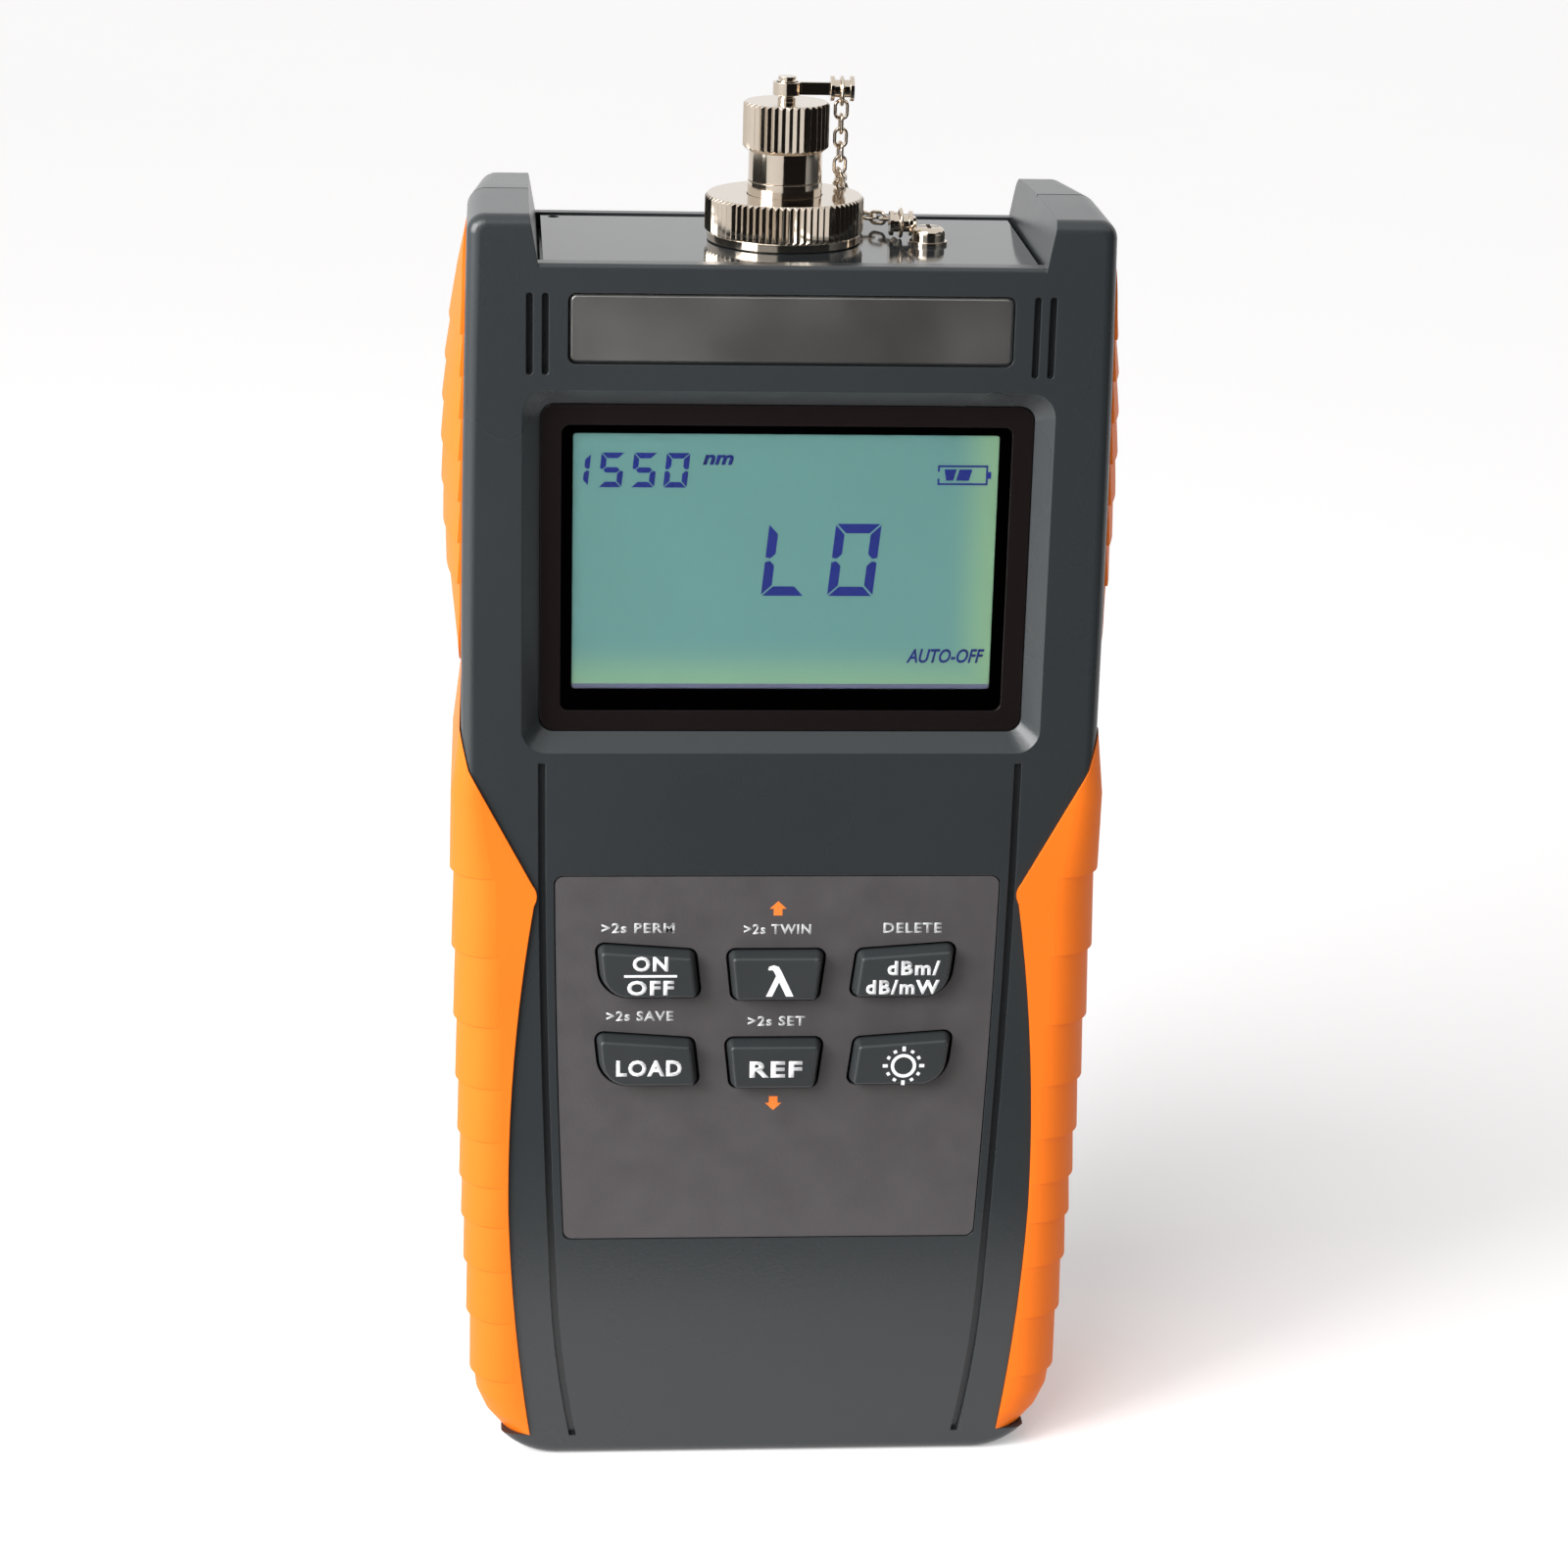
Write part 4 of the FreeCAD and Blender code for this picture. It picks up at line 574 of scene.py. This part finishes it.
def add_digit(bm, lit, corner, width, height, bar, slant, y):
    """Seven-segment figure: a to g, as on a watch."""
    gap = bar * SEGMENT_GAP
    half = height / 2.0
    right = width - bar
    shapes = {
        "a": [(gap, height), (width - gap, height), (right - gap, height - bar),
              (bar + gap, height - bar)],
        "d": [(gap, 0), (width - gap, 0), (right - gap, bar), (bar + gap, bar)],
        "f": [(0, height - gap), (bar, height - bar - gap), (bar, half + bar / 2 + gap),
              (bar / 2, half + gap), (0, half + gap * 2)],
        "e": [(0, gap), (bar, bar + gap), (bar, half - bar / 2 - gap), (bar / 2, half - gap),
              (0, half - gap * 2)],
        "g": [(bar / 2 + gap, half), (bar + gap, half + bar / 2), (right - gap, half + bar / 2),
              (width - bar / 2 - gap, half), (right - gap, half - bar / 2), (bar + gap, half - bar / 2)],
    }
    for source, target in (("f", "b"), ("e", "c")):
        shapes[target] = [(width - x, z) for x, z in shapes[source]]
    for name in lit:
        add_plate(bm, sheared(shapes[name], corner, slant), y, PRINT_THICK)


def ring_points(radius, count, centre):
    """Points spread evenly on a circle, in the (x, z) plane."""
    turns = [2.0 * math.pi * k / count for k in range(count)]
    return [(centre[0] + radius * math.cos(turn), centre[1] + radius * math.sin(turn))
            for turn in turns]


def in_place(shape, centre=(0.0, 0.0), tall=1.0):
    """An outline in millimetres round its own middle, put in place and stretched upwards."""
    return [((centre[0] + x) * MM, (centre[1] + z * tall) * MM) for x, z in shape]


# ------------------------------------------------------------------ operators
class METER_OT_case(bpy.types.Operator):
    """Moulded plastic, soft grips, plates and screws"""
    bl_idname = "meter.case"
    bl_label = "Case and grips"

    def execute(self, context):
        look = context.scene.meter_case
        shell = surface("case_plastic", look.plastic, 0.25, 0.32, speck=look.grain, patch=0.03,
                        amount=0.10, bump=0.000015, round_edge=0.00015)
        dress(("front_shell", "rear_shell", "battery_door"), shell)
        dress(("top_panel",), surface("panel_plastic", look.plastic, 0.07, 0.11, patch=0.05))
        dress(("left_lower_grip", "right_lower_grip", "left_upper_grip", "right_upper_grip"),
              surface("grip_rubber", look.grip, 0.45, 0.58, speck=0.0005, patch=0.02, amount=0.10,
                      bump=0.00001, round_edge=0.0001, Specular_IOR_Level=0.3))
        dress(("name_plate",), surface("plate_metal", (0.60, 0.59, 0.57), 0.28, 0.36, patch=0.015,
                                       amount=0.06, Metallic=1.0))
        dress(("case_screws", "board_screws"),
              surface("screw_steel", (0.45, 0.45, 0.46), 0.3, 0.45, Metallic=1.0))
        return {"FINISHED"}


class METER_OT_keypad(bpy.types.Operator):
    """Overlay film, rubber keys, their legends and captions"""
    bl_idname = "meter.keypad"
    bl_label = "Keys and lettering"

    def execute(self, context):
        look = context.scene.meter_case
        ink = context.scene.meter_print
        dress(("keypad_overlay",), surface("overlay_film", look.overlay, 0.42, 0.55, speck=0.0003,
                                           patch=0.004, amount=0.22, bump=0.00002))
        dress(KEY_NODES, surface("key_rubber", look.key, 0.38, 0.5, speck=0.0004, bump=0.000008,
                                 round_edge=0.0002))
        white = surface("white_print", ink.white, 0.45, 0.6, patch=0.003, amount=0.06)
        for node, rows in LEGENDS.items():
            bm = bmesh.new()
            for words, x, z, width, share in rows:
                add_words(bm, words, (x * MM, z * MM), (width * MM, ink.legend * share), KEY_FACE_Y,
                          bold=LEGEND_BOLD, spacing=LEGEND_SPACING)
            if node == "key_power":
                add_plate(bm, in_place(POWER_BAR), KEY_FACE_Y, PRINT_THICK)
            add_mesh("legend_" + node, bm, white, node)
        letter = bmesh.new()
        add_plate(letter, in_place(WAVE_LETTER, WAVE_PLACE, WAVE_TALL), KEY_FACE_Y, PRINT_THICK)
        add_mesh("legend_key_wavelength", tidy(letter), white, "key_wavelength")
        add_mesh("legend_key_backlight", self.sun((SUN_PLACE[0] * MM, SUN_PLACE[1] * MM)), white,
                 "key_backlight")
        captions = bmesh.new()
        for words, x, z, width in CAPTIONS:
            add_words(captions, words, (x * MM, z * MM), (width * MM, ink.caption), OVERLAY_Y,
                      bold=CAPTION_BOLD, spacing=CAPTION_SPACING)
        grey = [CAPTION_SHADE * part for part in ink.white]
        add_mesh("captions", captions, surface("caption_print", grey, 0.5, 0.6, patch=0.003),
                 "meter")
        arrows = bmesh.new()
        for x, z, way in ARROW_PLACES:
            add_plate(arrows, in_place(ARROW, (x, z), way), OVERLAY_Y, PRINT_THICK)
        add_mesh("arrows", tidy(arrows), surface("arrow_print", ink.arrow, 0.45, 0.6, patch=0.003),
                 "meter")
        return {"FINISHED"}

    def sun(self, centre):
        """A ring with twelve rays, every third one longer."""
        bm = bmesh.new()
        outer = ring_points(SUN_OUTER * MM, SUN_SIDES, centre)
        inner = ring_points(SUN_INNER * MM, SUN_SIDES, centre)
        for i in range(SUN_SIDES):
            j = (i + 1) % SUN_SIDES
            add_plate(bm, [outer[i], outer[j], inner[j], inner[i]], KEY_FACE_Y, PRINT_THICK)
        for k in range(SUN_RAYS):
            angle = 2.0 * math.pi * k / SUN_RAYS
            reach = RAY_LONG if k % 3 == 0 else RAY_SHORT
            along = Vector((math.cos(angle), math.sin(angle)))
            side = Vector((-along.y, along.x)) * RAY_HALF_WIDTH * MM
            near = Vector(centre) + along * RAY_START * MM
            far = Vector(centre) + along * reach * MM
            corners = (near + side, near - side, far - side, far + side)
            add_plate(bm, [tuple(p) for p in corners], KEY_FACE_Y, PRINT_THICK)
        return tidy(bm)


class METER_OT_display(bpy.types.Operator):
    """Bezel, window, lit panel and its segments"""
    bl_idname = "meter.display"
    bl_label = "Display"

    def execute(self, context):
        look = context.scene.meter_display
        dress(("display_bezel",), surface("bezel_plastic", (0.010, 0.007, 0.007), 0.12, 0.18, patch=0.01,
                                          round_edge=0.0001))
        dress(("display_lens",), clear_glass("clear_window", (0.97, 0.99, 0.98)))
        dress(("display_mask",), surface("mask_ink", (0.030, 0.027, 0.028), 0.3, 0.4, patch=0.01))
        dress(("lcd_glass",), lit_display("lit_panel", look.panel, look.edge))
        ink = surface("segment_ink", look.segment, 0.4, 0.5, patch=0.004, amount=0.08,
                      Specular_IOR_Level=0.1)
        bm = bmesh.new()
        small, large = look.small_digit, look.large_digit
        for lit, x, z, wide, tall, bar in SMALL_DIGITS:
            add_digit(bm, lit, (x * MM, z * MM), wide * small, small * tall, bar * small, SMALL_LEAN,
                      PANEL_PRINT_Y)
        for lit, x, z, wide, bar in LARGE_DIGITS:
            add_digit(bm, lit, (x * MM, z * MM), wide * large, large, bar * large, LARGE_LEAN,
                      PANEL_PRINT_Y)
        for outline in self.battery_sign():
            add_plate(bm, in_place(outline), PANEL_PRINT_Y, PRINT_THICK)
        for words, x, z, width, height, bold, slant in PANEL_WORDS:
            add_words(bm, words, (x * MM, z * MM), (width * MM, height * MM), PANEL_PRINT_Y, bold=bold,
                      slant=slant)
        add_mesh("display_segments", tidy(bm), ink, "meter")
        strip = bmesh.new()
        low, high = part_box("lcd_glass")
        left, right = low.x + STRIP_IN * MM, high.x - STRIP_IN * MM
        bottom, top = STRIP_LOW * MM, STRIP_HIGH * MM
        corners = [(left, bottom), (right, bottom), (right, top), (left, top)]
        add_plate(strip, corners, PANEL_PRINT_Y, PRINT_THICK)
        edge = surface("edge_strip", (0.10, 0.11, 0.20), 0.3, 0.4, patch=0.01)
        add_mesh("display_edge", tidy(strip), edge, "meter")
        return {"FINISHED"}

    def battery_sign(self):
        """Outline, end cap and two leaning bars, in mm."""
        x0, x1, z0, z1, line = 18.3, 24.4, 129.2, 131.65, 0.24
        step, cap = 0.8, 0.4
        bar_low, bar_high = z0 + 0.55, z1 - 0.5
        return [
            [(x0, z1 - line), (x1, z1 - line), (x1, z1), (x0, z1)],
            [(x0, z0), (x1, z0), (x1, z0 + line), (x0, z0 + line)],
            [(x1 - line, z0 + line), (x1, z0 + line), (x1, z1 - line), (x1 - line, z1 - line)],
            [(x0, z1 - step), (x0 + line, z1 - step), (x0 + line, z1 - line), (x0, z1 - line)],
            [(x0, z0 + line), (x0 + line, z0 + line), (x0 + line, z0 + step), (x0, z0 + step)],
            [(x1, z0 + step), (x1 + cap, z0 + step), (x1 + cap, z1 - step), (x1, z1 - step)],
            [(19.35, bar_low), (20.2, bar_low), (20.6, bar_high), (19.1, bar_high)],
            [(20.55, bar_low), (22.1, bar_low), (22.5, bar_high), (20.95, bar_high)],
        ]


class METER_OT_port(bpy.types.Operator):
    """Plated port, nut, cap, strap and anchor"""
    bl_idname = "meter.port"
    bl_label = "Port and cap"

    def execute(self, context):
        metal = context.scene.meter_chain.metal
        plated = surface("nickel_plate", metal, 0.06, 0.12, patch=0.004, amount=0.10, round_edge=0.00006,
                         Metallic=1.0)
        dress(("ring_nut", "dust_cap", "fibre_adapter", "cap_strap", "cap_spool", "anchor_spool", "chain",
               "chain_anchor", "panel_screw", "detector_housing"), plated)
        dress(("ferrule_sleeve",), surface("zirconia", (0.80, 0.80, 0.77), 0.1, 0.2))
        return {"FINISHED"}


class METER_OT_chain(bpy.types.Operator):
    """Round-wire links in place of the plain ones"""
    bl_idname = "meter.chain"
    bl_label = "Chain"

    def execute(self, context):
        wire = context.scene.meter_chain.wire
        bm = bmesh.new()
        for centre, along, across, length, width in self.links():
            self.add_link(bm, centre, along, across, length - wire, width - wire, wire)
        chain = add_mesh("chain_links", tidy(bm), NODES["chain"].data.materials[0], None)
        for face in chain.data.polygons:
            face.use_smooth = True
        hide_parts("chain")
        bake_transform(chain)
        return {"FINISHED"}

    def links(self):
        """Middle, long way, wide way, length and width of every plain link."""
        bm = bmesh.new()
        bm.from_mesh(NODES["chain"].data)
        bmesh.ops.remove_doubles(bm, verts=bm.verts[:], dist=LINK_WELD)
        bm.verts.ensure_lookup_table()
        left = set(range(len(bm.verts)))
        found = []
        while left:
            group = []
            stack = [left.pop()]
            while stack:
                index = stack.pop()
                group.append(bm.verts[index].co.copy())
                for edge in bm.verts[index].link_edges:
                    other = edge.other_vert(bm.verts[index]).index
                    if other in left:
                        left.discard(other)
                        stack.append(other)
            found.append(self.measure(group))
        bm.free()
        return sorted(found, key=lambda item: tuple(round(v, 6) for v in item[0]))

    def measure(self, points):
        """The axes of one link from the spread of its points."""
        cloud = np.array([tuple(p) for p in points])
        centre = cloud.mean(0)
        axes = np.linalg.eigh(np.cov((cloud - centre).T))[1]
        along = axes[:, 2]
        across = axes[:, 1]
        run = (cloud - centre) @ along
        spread = (cloud - centre) @ across
        return (Vector(centre), Vector(along), Vector(across), float(run.max() - run.min()),
                float(spread.max() - spread.min()))

    def add_link(self, bm, centre, along, across, length, width, wire):
        """A loop of round wire: two straight sides and two round ends."""
        radius = width / 2.0
        straight = max(0.0, (length - width) / 2.0)
        spine = []
        for k in range(LINK_STEPS):
            angle = 2.0 * math.pi * (k + 0.5) / LINK_STEPS
            shift = straight if math.sin(angle) > 0 else -straight
            spot = across * (radius * math.cos(angle)) + along * (radius * math.sin(angle) + shift)
            out = across * math.cos(angle) + along * math.sin(angle)
            spine.append((centre + spot, out))
        normal = along.cross(across).normalized()
        rings = []
        for spot, out in spine:
            ring = []
            for k in range(WIRE_SIDES):
                angle = 2.0 * math.pi * k / WIRE_SIDES
                offset = out * math.cos(angle) + normal * math.sin(angle)
                ring.append(bm.verts.new(spot + offset * (wire / 2.0)))
            rings.append(ring)
        for i in range(len(rings)):
            here, after = rings[i], rings[(i + 1) % len(rings)]
            for k in range(WIRE_SIDES):
                m = (k + 1) % WIRE_SIDES
                bm.faces.new((here[k], here[m], after[m], after[k]))


class METER_OT_inside(bpy.types.Operator):
    """Board, cells, contacts and the other hidden parts"""
    bl_idname = "meter.inside"
    bl_label = "Inside"

    def execute(self, context):
        dress(("backlight_frame",), surface("frame_plastic", (0.70, 0.71, 0.68), 0.4, 0.5))
        dress(("key_mat",), surface("mat_rubber", (0.09, 0.095, 0.10), 0.5, 0.62))
        dress(("circuit_board",), surface("board_mask", (0.010, 0.085, 0.030), 0.25, 0.4, patch=0.003,
                                          amount=0.3))
        dress(("battery_contacts",),
              surface("contact_steel", (0.62, 0.60, 0.56), 0.2, 0.35, Metallic=1.0))
        dress(("battery_cells",), printed_jacket("cell_jacket"))
        dress(("photodiode",), surface("diode_can", (0.60, 0.56, 0.48), 0.2, 0.3, Metallic=1.0))
        return {"FINISHED"}


class METER_OT_studio(bpy.types.Operator):
    """Pale floor, soft lamps, room light and the camera"""
    bl_idname = "meter.studio"
    bl_label = "Studio"

    def execute(self, context):
        look = context.scene.meter_studio
        reach = FLOOR_REACH
        floor = self.sheet("floor", ((-reach, -reach, 0.0), (reach, -reach, 0.0), (reach, reach, 0.0),
                                     (-reach, reach, 0.0)))
        paper = surface("floor_paper", look.floor, 0.6, 0.7, patch=0.4, amount=0.01)
        tree = paper.node_tree
        shader = tree.nodes["Principled BSDF"]
        shader.inputs["Emission Color"].default_value = (1.0, 1.0, 1.0, 1.0)
        gain = tree.nodes.new("ShaderNodeMath")
        gain.operation = "MULTIPLY"
        gain.inputs[1].default_value = look.floor_glow
        tree.links.new(looked_at(tree), gain.inputs[0])
        tree.links.new(gain.outputs[0], shader.inputs["Emission Strength"])
        wear(floor, paper)
        # painted dark reflections: the cards show only in shiny surfaces and darken what those surfaces
        # reflect
        dark = surface("painted_dark_reflection", (0.02, 0.018, 0.018), 0.8, 0.9, patch=0.2, Specular_IOR_Level=0.0)
        for name, corners in PAINTED_REFLECTION_CARDS.items():
            card = self.sheet(name, corners)
            wear(card, dark)
            card.visible_camera = False
            card.visible_diffuse = False
            card.visible_shadow = False
            card.visible_transmission = False
        window = bpy.data.lights.new("window_light", "SUN")
        window.energy = look.daylight
        window.angle = math.radians(WINDOW_SPREAD)
        self.aim("window_light", window, WINDOW_PLACE, (0.0, 0.0, 0.0))
        side = bpy.data.lights.new("side_lamp", "AREA")
        side.size = SIDE_LAMP_SIZE
        side.energy = look.side_power
        self.aim("side_lamp", side, SIDE_LAMP_PLACE, SIDE_LAMP_TARGET)
        self.room(look.ambient)
        self.camera(context)
        context.scene.view_settings.view_transform = "Standard"
        return {"FINISHED"}

    def sheet(self, name, corners):
        """A flat sheet in the scene."""
        bm = bmesh.new()
        bm.faces.new([bm.verts.new(corner) for corner in corners])
        sheet = mesh_object(name, bm)
        return sheet

    def aim(self, name, data, place, target):
        """A lamp at a place, turned towards a point."""
        lamp = bpy.data.objects.new(name, data)
        bpy.context.scene.collection.objects.link(lamp)
        lamp.location = place
        lamp.rotation_euler = (Vector(target) - Vector(place)).to_track_quat("-Z", "Y").to_euler()

    def room(self, ambient):
        """White where the camera, gloss or glass sees it, softer as light."""
        world = bpy.data.worlds.new("studio_room")
        bpy.context.scene.world = world
        world.use_nodes = True
        tree = world.node_tree
        back = tree.nodes["Background"]
        back.inputs["Color"].default_value = (1.0, 1.0, 1.0, 1.0)
        level = tree.nodes.new("ShaderNodeMapRange")
        level.inputs["To Min"].default_value = ambient
        level.inputs["To Max"].default_value = 1.0
        tree.links.new(looked_at(tree), level.inputs["Value"])
        tree.links.new(level.outputs[0], back.inputs["Strength"])

    def camera(self, context):
        """Above and left of the middle, turned a little to the right and leaned."""
        yaw, pitch, roll = (math.radians(angle) for angle in CAMERA_TURN)
        forward = Vector((math.sin(yaw) * math.cos(pitch), math.cos(yaw) * math.cos(pitch),
                          -math.sin(pitch)))
        level = forward.cross(Vector((0, 0, 1))).normalized()
        upright = level.cross(forward)
        right = level * math.cos(roll) + upright * math.sin(roll)
        up = upright * math.cos(roll) - level * math.sin(roll)
        data = bpy.data.cameras.new("camera")
        data.sensor_width = SENSOR_WIDTH
        data.lens = LENS
        data.clip_start = 0.01
        data.clip_end = 50.0
        camera = bpy.data.objects.new("camera", data)
        context.scene.collection.objects.link(camera)
        turn = Matrix((right, up, -forward)).transposed()
        place = Vector((CAMERA_PLACE[0], CAMERA_PLACE[1] + FRONT_Y, CAMERA_PLACE[2]))
        camera.matrix_world = Matrix.Translation(place) @ turn.to_4x4()
        context.scene.camera = camera


# ------------------------------------------------------------------ panel
OPERATORS = (METER_OT_case, METER_OT_keypad, METER_OT_display, METER_OT_port, METER_OT_chain,
             METER_OT_inside, METER_OT_studio)


class METER_PT_panel(bpy.types.Panel):
    """Lists the meter's pieces and their settings"""
    bl_idname = "METER_PT_panel"
    bl_label = "Optical power meter"
    bl_space_type = "VIEW_3D"
    bl_region_type = "UI"
    bl_category = "Meter"

    def draw(self, context):
        for operator in OPERATORS:
            self.layout.operator(operator.bl_idname)
        for name, group in SETTINGS.items():
            box = self.layout.box()
            for field in group.__annotations__:
                box.prop(getattr(context.scene, name), field)


def register():
    """The settings, operators and panel, known to Blender."""
    for group in SETTINGS.values():
        bpy.utils.register_class(group)
    for name, group in SETTINGS.items():
        setattr(bpy.types.Scene, name, bpy.props.PointerProperty(type=group))
    for operator in OPERATORS:
        bpy.utils.register_class(operator)
    bpy.utils.register_class(METER_PT_panel)


def unregister():
    """Everything registered is taken out again."""
    bpy.utils.unregister_class(METER_PT_panel)
    for operator in reversed(OPERATORS):
        bpy.utils.unregister_class(operator)
    for name, group in SETTINGS.items():
        delattr(bpy.types.Scene, name)
        bpy.utils.unregister_class(group)


def main():
    """Every piece is made."""
    register()
    bpy.ops.meter.case()
    bpy.ops.meter.keypad()
    bpy.ops.meter.display()
    bpy.ops.meter.port()
    bpy.ops.meter.chain()
    bpy.ops.meter.inside()
    bpy.ops.meter.studio()


if __name__ == "__main__":
    main()
